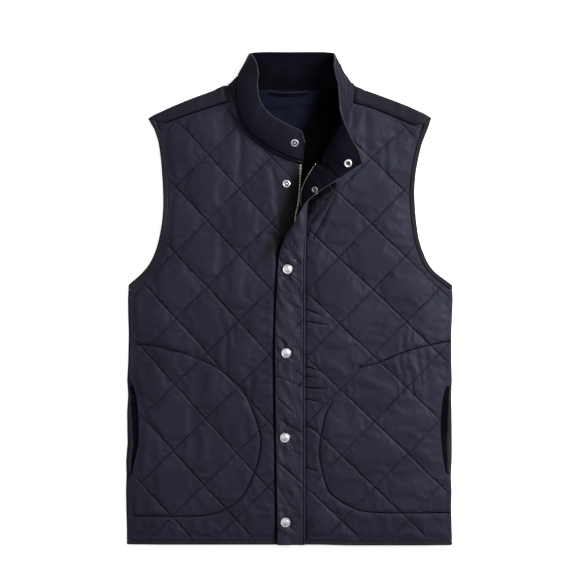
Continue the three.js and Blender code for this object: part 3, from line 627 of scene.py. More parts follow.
def sweep(
    form: Form, path: np.ndarray, profile: np.ndarray, up: np.ndarray | None = None, finish: int = 0
) -> None:
    """Adds a solid strip that follows a path.

    Args:
        form: Where it is added.
        path: Points of the path.
        profile: Its section, counter-clockwise seen along the path, as (across, up) rows.
        up: The direction in which the section stands, one for all or one a point.
        finish: Which of the piece's finishes it has.
    """
    run = unit(np.gradient(path, axis=0))
    over = unit(np.cross(run, np.broadcast_to(UP if up is None else up, path.shape)))
    stand = np.cross(over, run)
    points = (
        path[:, None]
        + over[:, None] * profile[None, :, :1]
        + stand[:, None] * profile[None, :, 1:]
    )
    n, m = len(path), len(profile)
    number = np.arange(n * m).reshape(n, m)
    nearer, further = number[:-1], number[1:]
    sides = np.stack(
        [nearer, np.roll(nearer, -1, 1), np.roll(further, -1, 1), further], axis=-1
    ).reshape(-1, 4)
    faces = sides.tolist() + [number[0][::-1].tolist(), number[-1].tolist()]
    form.add(points.reshape(-1, 3), faces, finish)


def oval(width: float, height: float, count: int = 14, square: float = 0.55) -> np.ndarray:
    """A flat rounded section.

    Args:
        width: Its full width.
        height: Its full height.
        count: Its points.
        square: How square its corners are, less for squarer.

    Returns:
        Points around it as (across, up) rows.
    """
    angle = 2 * math.pi * np.arange(count) / count
    x, y = np.cos(angle), np.sin(angle)
    return np.column_stack([
        width / 2 * np.sign(x) * np.abs(x) ** square,
        height / 2 * np.sign(y) * np.abs(y) ** square,
    ])


def turned(form: Form, profile: list[tuple], foot: np.ndarray, up: np.ndarray, count: int = 40) -> None:
    """Adds a solid turned about its own axis.

    Args:
        form: Where it is added.
        profile: Rising (radius, height) rows from axis to axis, with a third value where the band up to
            that row has another of the piece's finishes.
        foot: Where it stands.
        up: Its axis.
        count: Sides of each ring.
    """
    up = up / np.linalg.norm(up)
    first = np.cross(up, [0.3, 1.0, 0.1])
    first /= np.linalg.norm(first)
    second = np.cross(up, first)
    angle = 2 * math.pi * np.arange(count) / count
    ring = np.cos(angle)[:, None] * first + np.sin(angle)[:, None] * second
    body = profile[1:-1]
    points = [foot + up * profile[0][1]]
    points += [foot + ring * row[0] + up * row[1] for row in body]
    points.append(foot + up * profile[-1][1])
    stacked = np.vstack([np.atleast_2d(p) for p in points])
    band = [row[2] if len(row) > 2 else 0 for row in profile]
    last = len(stacked) - 1
    faces: list[list[int]] = []
    finish: list[int] = []
    for k in range(count):
        following = (k + 1) % count
        faces.append([0, 1 + following, 1 + k])
        for row in range(len(body) - 1):
            start = 1 + row * count
            faces.append([start + k, start + following, start + count + following, start + count + k])
        start = 1 + (len(body) - 1) * count
        faces.append([start + k, start + following, last])
        finish += [0, *band[2:]]
    form.add(stacked, faces, finish)


def stitches(
    form: Form, path: np.ndarray, up: np.ndarray, pitch: float = 3.2, long: float = 2.5, thick: float = 0.55
) -> None:
    """Adds a row of machine stitches.

    Args:
        form: Where they are added.
        path: Points along the row, on the cloth's face.
        up: The cloth's outward direction, one for all or one a point.
        pitch: Distance from stitch to stitch.
        long: Length of the thread that shows.
        thick: Thickness of the thread.
    """
    reach = reaches(path)
    if reach[-1] < 2 * pitch:
        return
    starts = np.arange(0.5 * pitch, reach[-1] - pitch, pitch)
    a, b = read_off(starts, reach, path), read_off(starts + long, reach, path)
    stand = unit(read_off(starts + long / 2, reach, np.broadcast_to(up, path.shape)))
    over = np.cross(unit(b - a), stand)
    r = thick / 2
    corners = [a - stand * r * 0.6]
    for share, size in ((0.2, 0.85), (0.8, 0.85)):
        spot = a + (b - a) * share + stand * r * 0.5
        corners += [spot + over * r * size, spot + stand * r * size, spot - over * r * size, spot - stand * r]
    corners.append(b - stand * r * 0.6)
    points = np.stack(corners, axis=1).reshape(-1, 3)
    shape = []
    for k in range(4):
        j = (k + 1) % 4
        shape += [[0, 1 + j, 1 + k], [9, 5 + k, 5 + j]]
        shape += [[1 + k, 1 + j, 5 + j], [1 + k, 5 + j, 5 + k]]
    faces = np.array(shape)[None] + 10 * np.arange(len(starts))[:, None, None]
    form.add(points, faces.reshape(-1, 3)[:, ::-1])


# Finishes.


class Nodes:
    """A short hand for building a node tree."""

    def __init__(self, tree: bpy.types.NodeTree) -> None:
        """Keeps the tree."""
        self.tree = tree

    def new(self, kind: str, **settings: object) -> bpy.types.Node:
        """A new node with its settings made."""
        node = self.tree.nodes.new(kind)
        for name, value in settings.items():
            setattr(node, name, value)
        return node

    def join(self, output: bpy.types.NodeSocket, socket: bpy.types.NodeSocket) -> None:
        """Links two sockets."""
        self.tree.links.new(output, socket)

    def put(self, socket: bpy.types.NodeSocket, value: object) -> None:
        """Gives a socket a number, or joins another socket to it."""
        if isinstance(value, bpy.types.NodeSocket):
            self.join(value, socket)
        else:
            socket.default_value = value

    def place(self) -> tuple[bpy.types.NodeSocket, bpy.types.NodeOutputs]:
        """The spot on the piece, and that spot split into X, Y and Z."""
        spot = self.new("ShaderNodeTexCoord").outputs["Object"]
        axes = self.new("ShaderNodeSeparateXYZ")
        self.join(spot, axes.inputs[0])
        return spot, axes.outputs

    def noise(self, spot: bpy.types.NodeSocket, **values: object) -> bpy.types.NodeSocket:
        """Cloudy noise.

        Args:
            spot: Where on the piece it is read.
            values: Its other inputs, as numbers or sockets.

        Returns:
            The noise's socket.
        """
        node = self.new("ShaderNodeTexNoise")
        self.join(spot, node.inputs["Vector"])
        for label, value in values.items():
            self.put(node.inputs[label], value)
        return node.outputs["Fac"]

    def bump(self, height: bpy.types.NodeSocket, distance: float) -> bpy.types.Node:
        """A bump made from a height, with its full rise in metres."""
        node = self.new("ShaderNodeBump")
        node.inputs["Distance"].default_value = distance
        self.join(height, node.inputs["Height"])
        return node

    def maths(self, operation: str, a: object, b: object = None, clamp: bool = False) -> bpy.types.NodeSocket:
        """A sum of sockets or numbers.

        Args:
            operation: The kind of sum.
            a: First socket or number.
            b: Second socket or number.
            clamp: Whether to keep the result from 0 to 1.

        Returns:
            The result's socket.
        """
        node = self.new("ShaderNodeMath", operation=operation, use_clamp=clamp)
        for socket, value in zip(node.inputs, (a, b)):
            if value is not None:
                self.put(socket, value)
        return node.outputs[0]


class Effects:
    """Effects that several finishes share, each built once as a node group."""

    def __init__(self) -> None:
        """Starts with none built."""
        self.built: dict[str, bpy.types.NodeTree] = {}

    def group(
        self, name: str, output: str, **inputs: float
    ) -> tuple[Nodes, bpy.types.NodeOutputs, bpy.types.NodeSocket]:
        """Starts a new group.

        Args:
            name: The group's name.
            output: The name of its output.
            inputs: Its number inputs with their usual values.

        Returns:
            The tree's short hand, the sockets that bring its inputs and the one that takes its output.
        """
        tree = bpy.data.node_groups.new(name, "ShaderNodeTree")
        for label, value in inputs.items():
            socket = tree.interface.new_socket(name=label, in_out="INPUT", socket_type="NodeSocketFloat")
            socket.default_value = value
        tree.interface.new_socket(name=output, in_out="OUTPUT", socket_type="NodeSocketFloat")
        nodes = Nodes(tree)
        self.built[name] = tree
        return nodes, nodes.new("NodeGroupInput").outputs, nodes.new("NodeGroupOutput").inputs[output]

    def weave(self) -> bpy.types.NodeTree:
        """Crossing threads of a plain cloth, as a height."""
        if "cloth weave" in self.built:
            return self.built["cloth weave"]
        nodes, given, out = self.group("cloth weave", "Height", Threads=3000.0, Slub=0.4)
        spot, axes = nodes.place()
        lean = nodes.maths("MULTIPLY", axes[2], 0.4)
        threads = []
        for axis, sign in ((0, "ADD"), (1, "SUBTRACT")):
            run = nodes.maths(sign, axes[axis], lean)
            threads.append(nodes.maths("SINE", nodes.maths("MULTIPLY", run, given["Threads"])))
        crossing = nodes.maths("MULTIPLY", threads[0], threads[1])
        slub = nodes.noise(spot, Scale=420.0, Detail=2.0)
        uneven = nodes.maths("MULTIPLY", slub, given["Slub"])
        nodes.join(nodes.maths("ADD", nodes.maths("MULTIPLY", crossing, 0.5), uneven), out)
        return self.built["cloth weave"]

    def crinkle(self) -> bpy.types.NodeTree:
        """Fine soft crinkles of light cloth, as a height."""
        if "cloth crinkle" in self.built:
            return self.built["cloth crinkle"]
        nodes, given, out = self.group("cloth crinkle", "Height", Scale=60.0, Stretch=2.0)
        axes = nodes.place()[1]
        heights = []
        for label, along, across in (("falls", 1, 0), ("drags", 0, 1)):
            spot = nodes.new("ShaderNodeCombineXYZ", label=label)
            nodes.join(nodes.maths("DIVIDE", axes[along], given["Stretch"]), spot.inputs[along])
            nodes.join(axes[across], spot.inputs[across])
            nodes.join(axes[2], spot.inputs[2])
            heights.append(nodes.noise(
                spot.outputs[0], Scale=given["Scale"], Detail=3.0, Roughness=0.55, Distortion=0.6
            ))
        mixed = nodes.maths("MULTIPLY", heights[0], heights[1])
        nodes.join(nodes.maths("MULTIPLY", mixed, 2.0), out)
        return self.built["cloth crinkle"]

    def mottle(self) -> bpy.types.NodeTree:
        """Soft uneven tone over a surface, as a mask from 0 to 1."""
        if "soft mottle" in self.built:
            return self.built["soft mottle"]
        nodes, given, out = self.group("soft mottle", "Mask", Scale=14.0, Fleck=260.0, Depth=0.35)
        spot = nodes.place()[0]
        broad, fleck = (nodes.noise(spot, Scale=given[label], Detail=3.0) for label in ("Scale", "Fleck"))
        wide = nodes.maths("MULTIPLY", nodes.maths("SUBTRACT", broad, 0.5), 2.2)
        fine = nodes.maths("MULTIPLY", nodes.maths("SUBTRACT", fleck, 0.5), given["Depth"])
        nodes.join(nodes.maths("ADD", nodes.maths("ADD", wide, fine), 0.5, clamp=True), out)
        return self.built["soft mottle"]


EFFECTS = Effects()


def place_group(nodes: Nodes, tree: bpy.types.NodeTree, **values: float) -> bpy.types.Node:
    """A node group put in a material.

    Args:
        nodes: The material's tree.
        tree: The group.
        values: The group's inputs in this material.

    Returns:
        The group's node.
    """
    node = nodes.new("ShaderNodeGroup", node_tree=tree)
    for label, value in values.items():
        node.inputs[label].default_value = value
    return node


def mix_colours(nodes: Nodes, mask: bpy.types.NodeSocket, dark: tuple, light: tuple) -> bpy.types.NodeSocket:
    """A colour between two, by a mask.

    Args:
        nodes: The material's tree.
        mask: Where it is light.
        dark: Colour at 0.
        light: Colour at 1.

    Returns:
        The colour's socket.
    """
    mix = nodes.new("ShaderNodeMix", data_type="RGBA")
    mix.inputs[6].default_value = (*dark, 1.0)
    mix.inputs[7].default_value = (*light, 1.0)
    nodes.join(mask, mix.inputs[0])
    return mix.outputs[2]


def start_material(name: str) -> tuple[bpy.types.Material, Nodes, bpy.types.Node]:
    """A new material with a plain shader in it.

    Args:
        name: The finish's name.

    Returns:
        The material, its tree's short hand and its shader.
    """
    material = bpy.data.materials.new(name)
    material.use_nodes = True
    nodes = Nodes(material.node_tree)
    return material, nodes, material.node_tree.nodes["Principled BSDF"]


@dataclass(frozen=True)
class Deep:
    """Painted deep shade on a cloth: its colour, the slanting line that bounds it, and its ends along an
    axis.
    """

    colour: tuple[float, float, float]
    slope: float
    dark: float
    light: float
    axis: int = 0
    stops: tuple[float, float] | None = None


@dataclass(frozen=True)
class Cloth:
    """A woven cloth: its colours, sheen, threads, crinkle and any painted deep shade."""

    name: str
    dark: tuple[float, float, float]
    light: tuple[float, float, float]
    roughness: float = 0.62
    sheen: float = 0.03
    gloss: float = 0.12
    threads: float = 5200.0
    weave_depth: float = 0.00006
    crinkle: float = 40.0
    crinkle_depth: float = 0.00042
    mottle: float = 13.0
    deep: Deep | None = None

    def material(self) -> bpy.types.Material:
        """The finish as a material."""
        material, nodes, shader = start_material(self.name)
        tone = place_group(nodes, EFFECTS.mottle(), Scale=self.mottle)
        colour = mix_colours(nodes, tone.outputs["Mask"], self.dark, self.light)
        if self.deep is not None:
            colour = self.darkened(nodes, colour)
        nodes.join(colour, shader.inputs["Base Color"])
        spread = nodes.maths("MULTIPLY", tone.outputs["Mask"], -0.12)
        nodes.join(nodes.maths("ADD", spread, self.roughness + 0.06), shader.inputs["Roughness"])
        folds = place_group(nodes, EFFECTS.crinkle(), Scale=self.crinkle)
        soft = nodes.bump(folds.outputs["Height"], self.crinkle_depth)
        threads = place_group(nodes, EFFECTS.weave(), Threads=self.threads)
        fine = nodes.bump(threads.outputs["Height"], self.weave_depth)
        nodes.join(soft.outputs["Normal"], fine.inputs["Normal"])
        nodes.join(fine.outputs["Normal"], shader.inputs["Normal"])
        shader.inputs["Sheen Weight"].default_value = self.sheen
        shader.inputs["Sheen Roughness"].default_value = 0.45
        shader.inputs["Sheen Tint"].default_value = (0.62, 0.64, 0.85, 1.0)
        shader.inputs["Specular IOR Level"].default_value = self.gloss
        return material

    def darkened(self, nodes: Nodes, colour: bpy.types.NodeSocket) -> bpy.types.NodeSocket:
        """The cloth's colour with its painted deep shade mixed in.

        Args:
            nodes: The material's tree.
            colour: The cloth's colour.

        Returns:
            The colour's socket.
        """
        axes = nodes.place()[1]
        slant = nodes.maths("SUBTRACT", nodes.maths("MULTIPLY", axes[1], self.deep.slope), axes[0])
        bounds = [(slant, self.deep.dark, self.deep.light)]
        if self.deep.stops is not None:
            bounds.append((axes[self.deep.axis], *self.deep.stops))
        masks = []
        for value, dark, light in bounds:
            ramp = nodes.new("ShaderNodeMapRange", clamp=True)
            ramp.inputs["From Min"].default_value = dark * MM
            ramp.inputs["From Max"].default_value = light * MM
            nodes.join(value, ramp.inputs["Value"])
            masks.append(ramp.outputs["Result"])
        high = masks[0] if len(masks) == 1 else nodes.maths("MAXIMUM", masks[0], masks[1])
        mix = nodes.new("ShaderNodeMix", data_type="RGBA")
        mix.inputs[6].default_value = (*self.deep.colour, 1.0)
        nodes.join(colour, mix.inputs[7])
        nodes.join(high, mix.inputs[0])
        return mix.outputs[2]


@dataclass(frozen=True)
class Metal:
    """A plated metal with light handling marks."""

    name: str
    dark: tuple[float, float, float]
    light: tuple[float, float, float]
    roughness: float = 0.32

    def material(self) -> bpy.types.Material:
        """The finish as a material."""
        material, nodes, shader = start_material(self.name)
        tone = place_group(nodes, EFFECTS.mottle(), Scale=120.0, Fleck=1800.0)
        colour = mix_colours(nodes, tone.outputs["Mask"], self.dark, self.light)
        nodes.join(colour, shader.inputs["Base Color"])
        spread = nodes.maths("MULTIPLY", tone.outputs["Mask"], 0.14)
        nodes.join(nodes.maths("ADD", spread, self.roughness), shader.inputs["Roughness"])
        shader.inputs["Metallic"].default_value = 1.0
        return material


@dataclass(frozen=True)
class Table:
    """The plain pale surface under the vest."""

    name: str = "pale floor"
    dark: tuple[float, float, float] = (0.86, 0.86, 0.86)
    light: tuple[float, float, float] = (0.9, 0.9, 0.9)
    glow: float = 0.6

    def material(self) -> bpy.types.Material:
        """The finish as a material."""
        material, nodes, shader = start_material(self.name)
        tone = place_group(nodes, EFFECTS.mottle(), Scale=2.0)
        colour = mix_colours(nodes, tone.outputs["Mask"], self.dark, self.light)
        nodes.join(colour, shader.inputs["Base Color"])
        shader.inputs["Roughness"].default_value = 0.9
        shader.inputs["Specular IOR Level"].default_value = 0.1
        shader.inputs["Emission Color"].default_value = (1.0, 1.0, 1.0, 1.0)
        shader.inputs["Emission Strength"].default_value = self.glow
        return material


class Finishes:
    """Every finish of the vest, made once."""

    def __init__(self) -> None:
        """Builds the materials."""
        shell = Cloth("navy shell cloth", (0.0083, 0.0083, 0.0168), (0.0132, 0.0132, 0.0262))
        # Copies of the shell cloth with painted shadow: beside the turned-back placket on the right front,
        # under it on the left.
        painted_shade = (0.0006, 0.0006, 0.0016)
        beside, under = Deep(painted_shade, 0.345, 54, 71, 1, (80, 50)), Deep(painted_shade, 1.0, 99, 76, 0, (58, 78))
        self.shell = shell.material()
        self.shell_shaded_beside_flap = replace(shell, name="navy shell cloth beside the flap", deep=beside).material()
        self.shell_shaded_under_flap = replace(shell, name="navy shell cloth under the flap", deep=under).material()
        self.placket = Cloth("navy placket cloth", (0.011, 0.011, 0.0205), (0.016, 0.016, 0.0285)).material()
        self.collar = Cloth(
            "brushed collar cloth", (0.0056, 0.0056, 0.0108), (0.0096, 0.0096, 0.0178), roughness=0.8,
            gloss=0.06, crinkle=80.0,
        ).material()
        # Near-black facing: a darker cloth, painted darker still for the shade inside the turned-back collar
        # and placket and the pocket mouths.
        self.facing = Cloth(
            "dark collar facing with painted shade", (0.0007, 0.0008, 0.0017), (0.0034, 0.0037, 0.0066), roughness=0.85,
            sheen=0.0, gloss=0.02, crinkle=60.0, crinkle_depth=0.0012,
        ).material()
        # A lighter cloth for rolled edges: partly worn edges, partly a painted highlight where they catch the
        # light.
        self.edge = Cloth(
            "rolled collar edge with painted highlight", (0.007, 0.007, 0.011), (0.021, 0.021, 0.027), roughness=0.6, sheen=0.08,
            gloss=0.2, crinkle=260.0, crinkle_depth=0.0004, mottle=90.0,
        ).material()
        # The lining's deep colour is painted shade, darkening it down into the neck opening under the collar.
        self.lining = Cloth(
            "smooth lining cloth", (0.0034, 0.0040, 0.0098), (0.0064, 0.0074, 0.0172), roughness=0.7,
            sheen=0.0, gloss=0.015, crinkle=34.0, crinkle_depth=0.0012,
            deep=Deep((0.0002, 0.0003, 0.0007), *PAINTED_NECK_SHADE),
        ).material()
        # A darker copy of the shell for the shoulder strips: painted shade where they turn away from the
        # light.
        self.shoulder = Cloth("shaded shell cloth", (0.005, 0.005, 0.0096), (0.008, 0.008, 0.0148)).material()
        # Darker copies of the shell: painted shade along stitch lines and creases, and near-black painted
        # shade in seams and under edges.
        self.drawn = Cloth(
            "shell cloth with painted crease shade", (0.0034, 0.0034, 0.0092), (0.0056, 0.0056, 0.014), sheen=0.01
        ).material()
        self.shade = Cloth(
            "shaded seam cloth", (0.0006, 0.0006, 0.0018), (0.0014, 0.0014, 0.0036), sheen=0.0, gloss=0.03
        ).material()
        self.trim = Cloth(
            "charcoal binding", (0.009, 0.009, 0.0122), (0.0155, 0.0155, 0.0205), roughness=0.85, sheen=0.06,
            gloss=0.08, crinkle=220.0, crinkle_depth=0.0006,
        ).material()
        self.tape = Cloth(
            "zip tape", (0.0025, 0.0025, 0.0038), (0.0045, 0.0045, 0.0065), roughness=0.85, gloss=0.05,
            crinkle=300.0, crinkle_depth=0.0002, weave_depth=0.00012, threads=3600.0,
        ).material()
        self.thread = Cloth(
            "navy thread", (0.0016, 0.0016, 0.0042), (0.0105, 0.0105, 0.0165), roughness=0.7, crinkle=400.0,
            crinkle_depth=0.0001, mottle=260.0,
        ).material()
        self.nickel = Metal("brushed nickel", (0.54, 0.55, 0.56), (0.72, 0.73, 0.74)).material()
        # A darker copy of the nickel: painted shade for the socket on the turned-back placket.
        self.nickel_in_painted_shade = Metal("shaded nickel", (0.06, 0.06, 0.062), (0.16, 0.16, 0.165), 0.4).material()
        # Dark metal in the snaps' recesses: painted shade.
        self.recess = Metal("snap recess painted shade", (0.02, 0.02, 0.022), (0.05, 0.05, 0.052), 0.5).material()
        self.brass = Metal("aged zip metal", (0.27, 0.25, 0.22), (0.46, 0.44, 0.4), roughness=0.38).material()


def dress(
    piece: bpy.types.Object, finish: bpy.types.Material | list[bpy.types.Material], slot: Slot, *nodes: str
) -> bpy.types.Object:
    """Gives a piece its finish and its place in the frame.

    Args:
        piece: The piece.
        finish: Its material, or several in the order of its parts.
        slot: The piece's slot in the record; not used.
        nodes: The solids that it stands for.

    Returns:
        The piece.
    """
    for material in finish if isinstance(finish, list) else [finish]:
        piece.data.materials.append(material)
    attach(piece, "root")
    if nodes:
        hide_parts(*nodes)
    return piece


# The cutter's lines.


@dataclass(frozen=True)
class Lattice:
    """The diamond quilting of one panel: a corner and its two stitch directions."""

    x: float
    y: float
    ax: float
    ay: float
    bx: float
    by: float

    def uv(self, points: np.ndarray) -> tuple[np.ndarray, np.ndarray]:
        """Places counted in diamonds along both directions."""
        across = self.ax * self.by - self.ay * self.bx
        dx, dy = points[:, 0] - self.x, points[:, 1] - self.y
        return (dx * self.by - dy * self.bx) / across, (dy * self.ax - dx * self.ay) / across

    def place(self, u: np.ndarray, v: np.ndarray) -> np.ndarray:
        """Points in plan of places counted in diamonds."""
        return np.column_stack([
            self.x + u * self.ax + v * self.bx,
            self.y + u * self.ay + v * self.by,
        ])

    def spacing(self) -> tuple[float, float]:
        """Distances between neighbouring lines of each direction."""
        across = abs(self.ax * self.by - self.ay * self.bx)
        return across / math.hypot(self.bx, self.by), across / math.hypot(self.ax, self.ay)

    def counted(self, loop: np.ndarray) -> tuple[np.ndarray, np.ndarray]:
        """The corners of a loop's box, counted in diamonds along both directions."""
        low, high = loop.min(0), loop.max(0)
        return self.uv(np.array([[x, y] for x in (low[0], high[0]) for y in (low[1], high[1])]))

    def lines(self, loop: np.ndarray, step: float) -> Iterator[np.ndarray]:
        """Every stitch line that crosses a loop's box.

        Args:
            loop: The loop's points.
            step: Distance between a line's points, as a share of a diamond.

        Yields:
            The line's points in plan.
        """
        counted = self.counted(loop)
        for way in (0, 1):
            run = np.arange(counted[1 - way].min(), counted[1 - way].max(), step)
            for line in range(math.floor(counted[way].min()), math.ceil(counted[way].max()) + 1):
                fixed = np.full(len(run), float(line))
                yield self.place(fixed, run) if way == 0 else self.place(run, fixed)

    def spots(self, loop: np.ndarray, fine: list[float], even: float) -> np.ndarray:
        """Points over a loop's box that follow the stitch lines.

        Args:
            loop: The loop's points.
            fine: Steps beside each line, as shares of a diamond.
            even: The step over the rest of it.

        Returns:
            The points in plan.
        """
        rest = np.arange(fine[-1] + even, 1 - fine[-1] - even / 2, even)
        steps = np.concatenate([[0.0], fine, rest, 1 - np.array(fine)[::-1]])
        lines = []
        for counted in self.counted(loop):
            cells = np.arange(math.floor(counted.min()), math.ceil(counted.max()) + 1)
            lines.append((cells[:, None] + steps).ravel())
        u, v = (g.ravel() for g in np.meshgrid(*lines))
        points = self.place(u, v)
        return points[((points > loop.min(0)) & (points < loop.max(0))).all(1)]


@dataclass(frozen=True)
class Fold:
    """A soft trough in the cloth: its two ends, depth and half width."""

    x1: float
    y1: float
    x2: float
    y2: float
    depth: float
    wide: float

    def ends(self) -> np.ndarray:
        """Both ends, one row each."""
        return np.array([[self.x1, self.y1], [self.x2, self.y2]])

    def away(self, points: np.ndarray) -> np.ndarray:
        """Distances of places in plan from the fold's line."""
        return segment_distance(points, *self.ends())

    def dip(self, points: np.ndarray) -> np.ndarray:
        """How deep the fold is at places in plan."""
        return self.depth * np.exp(-((self.away(points) / self.wide) ** 2))


# Short gathers of the left front along the placket's seam.
PUCKERS = [
    Fold(26, -17, 50, -27, 1.3, 1.8), Fold(27, -36, 58, -42, 1.3, 1.8), Fold(26, -106, 47, -113, 1.2, 1.8),
    Fold(26, -121, 44, -124, 1.1, 1.7), Fold(26, -139, 56, -141, 1.3, 1.8),
    Fold(26, -156, 45, -161, 1.1, 1.7), Fold(26, -198, 42, -206, 1.2, 1.7),
    Fold(27, -262, 42, -269, 0.9, 1.8), Fold(26, -88, 38, -86, 0.9, 1.7),
]

# Folds of the left front that run up beside the turned-back edge of the placket.
FLAP_FOLDS = [
    Fold(36, 117, 58, 150, 2.0, 3.2), Fold(58, 150, 77, 176, 1.7, 3.4), Fold(28, 126, 43, 158, 1.8, 3),
    Fold(43, 158, 50, 172, 1.5, 3), Fold(50, 112, 71, 156, 1.6, 3.4), Fold(38, 92, 52, 118, 1.2, 4),
    Fold(30, 96, 36, 130, 1.4, 3),
]


@dataclass(frozen=True)
class Pattern:
    """Sizes and lines of the vest as it lies, the same as those of its solids."""

    half_width: float = 252.0
    hem_y: float = -383.0
    side_x: float = 249.4
    seam_gap: float = 0.35
    back_thick: float = 3.0
    lining_thick: float = 1.0
    front_wall: float = 1.4
    puff: float = 2.7
    collar_thick: float = 2.4
    placket_thick: float = 2.0
    tape_thick: float = 0.8
    hem_binding: float = 6.0
    arm_binding: float = 7.6
    rest_z: float = 3.4
    fullness: float = 5.2
    mouth_lift: float = 1.7
    placket_z: float = 13.0
    placket_lap: float = 2.8
    right_edge_x: float = 5.6
    placket_x: float = 24.5
    mouth_top: float = -124.0
    mouth_bottom: float = -284.0
    mouth_deep: float = 15.5
    binding_top: float = 276.4

    shoulder: tuple = ((102, 329.5), (117, 322), (150, 309.6), (181, 297), (207, 285), (217, 279))
    arm_table: tuple = (
        (217, 279), (208, 256), (200, 222), (195, 183), (194.5, 146), (198, 109), (206, 74), (220, 46),
        (251.6, 20),
    )
    seam_table: tuple = ((90, 306.5), (130, 293.5), (160, 283.5), (204, 267))
    back_neck: tuple = ((-94, 328.6), (-68, 323.8), (0.5, 321.1), (72, 323), (98, 328.6))
    right_neck: tuple = ((15.4, 209.5), (-2, 216.5), (-38, 236.5), (-67.5, 262), (-80.5, 296), (-86, 307))
    right_edge: tuple = ((5.6, -376.6), (5.6, 90), (8.1, 128), (12, 147), (14.2, 171), (15.4, 209.5))
    left_neck: tuple = ((50, 203.5), (53, 218), (58.5, 235), (71, 254), (85.5, 274), (93.5, 296), (97, 304))

    @property
    def hem_top(self) -> float:
        """Where the panels end above the hem's binding."""
        return self.hem_y + self.hem_binding + self.seam_gap

    @property
    def tip_y(self) -> float:
        """Where the shoulder's tip ends beside the armhole's binding."""
        return self.binding_top + self.seam_gap

    @property
    def layer_z(self) -> float:
        """Height of what lies on the back."""
        return self.back_thick + self.seam_gap

    def armhole(self) -> np.ndarray:
        """The left armhole's edge, from the shoulder down."""
        return Curve(self.arm_table).run(22)

    def inner_armhole(self) -> np.ndarray:
        """The line where the armhole binding meets the panels."""
        return shifted(self.armhole(), -(self.arm_binding + self.seam_gap))

    def forward_seam(self) -> np.ndarray:
        """The left shoulder seam, from the neck out."""
        return Curve(self.seam_table).run(8)

    def inner(self, points: np.ndarray) -> np.ndarray:
        """Height of the inner face of a front.

        Args:
            points: Places in plan.

        Returns:
            One height a place.
        """
        half = np.abs(points[:, 0])
        y = points[:, 1]
        plan = folded(points)
        side = smooth((self.side_x - half) / 60)
        hem = 0.5 + 0.5 * smooth((y - self.hem_y) / 70)
        arm = 0.35 + 0.65 * smooth(line_distance(plan, self.armhole()) / 60)
        shoulder = 0.35 + 0.65 * smooth(line_distance(plan, self.forward_seam()) / 50)
        middle = (self.mouth_top + self.mouth_bottom) / 2
        half_mouth = (self.mouth_top - self.mouth_bottom) / 2
        mouth = smooth(1.7 - np.abs(y - middle) / half_mouth)
        full = self.rest_z + self.fullness * side * hem * arm * shoulder
        return full + self.mouth_lift * mouth * (1 - side)


PATTERN = Pattern()

LATTICES = {
    Side.RIGHT: Lattice(-126.4, 120.3, 48.6, -53.2, 49.7, 49.4),
    Side.LEFT: Lattice(128.4, 12.7, 51.8, -49.8, 50.4, 52.4),
}
BACK_LATTICE = Lattice(0.0, 20.0, 50.2, -51.4, 50.2, 51.4)

# Where the points of a front lie: steps beside and between its stitch lines, as shares of a diamond, then
# rows beside its seams and puckers in millimetres.
FINE_STEPS = [0.011, 0.026, 0.048, 0.08, 0.118]
EVEN_STEP = 0.041
SEAM_ROWS = (-4.4, -2.9, -1.7, -0.8, 0.0, 0.8, 1.7, 2.9, 4.4)
PUCKER_ROWS = (-1.9, -0.9, -0.3, 0.3, 0.9, 1.9)

# The same steps for the back.
BACK_FINE_STEPS = [0.012, 0.03, 0.06, 0.11]
BACK_EVEN_STEP = 0.065

# The right front is plain nearer to the zip than this.
PLAIN_X = -12

# Soft folds that a front takes as the vest lies.
FOLDS = [
    Fold(-74, 257, -76, 186, 1.6, 7), Fold(-27, 203, -18, 160, 1.2, 6), Fold(-97, -56, -99, -108, 1.2, 7),
    Fold(115, 290, 120, 229, 1.7, 7), Fold(146, 239, 149, 191, 1.3, 6), Fold(162, 260, 162, 209, 1.1, 6),
    Fold(208, -82, 216, -160, 1.2, 6), Fold(95, 292, 97, 266, 1.2, 5), Fold(-147, -80, -150, -100, 0.9, 5),
    Fold(196, -78, 203, -116, 1.0, 4), Fold(-103, 74, -105, 50, 0.8, 8), Fold(211, -72, 213, -96, 0.8, 4),
    Fold(180, -80, 184, -112, 1.1, 3.2), Fold(170, -92, 176, -150, 1.1, 4),
    Fold(188, -112, 191, -152, 1.2, 3.4),
    Fold(179, -46, 173, -88, 1.0, 3.4), Fold(189, -50, 189, -68, 1.0, 3), Fold(198, -93, 204, -136, 1.2, 3.2),
    Fold(61, -300, 75, -338, 1.0, 3.4), Fold(-58, -122, -62, -160, 0.9, 6), Fold(-88, -40, -84, -74, 0.9, 5),
    Fold(62, -36, 98, -62, 0.9, 5), Fold(84, -150, 92, -196, 0.8, 6), Fold(-150, -180, -146, -240, 0.8, 8),
    Fold(-22, 152, -13, 118, 0.9, 5), *FLAP_FOLDS, *PUCKERS,
]

# The turned-back edge of the placket, beside which the left front is painted in shadow.
FLAP_EDGE = np.array([(26, 133), (30, 145), (41, 155.5), (55, 166.5), (70, 176.5)], float)

# Where the left front rises towards the turned-back edge: centre, height and reach.
LEFT_LIFTS = ((54, 209, 10, 32), (28, 150, 3.6, 26))


@dataclass(frozen=True)
class Seam:
    """A line that draws the cloth in: its points, depth, half width and whether its stitches show."""

    line: np.ndarray
    depth: float
    wide: float
    sewn: bool = True


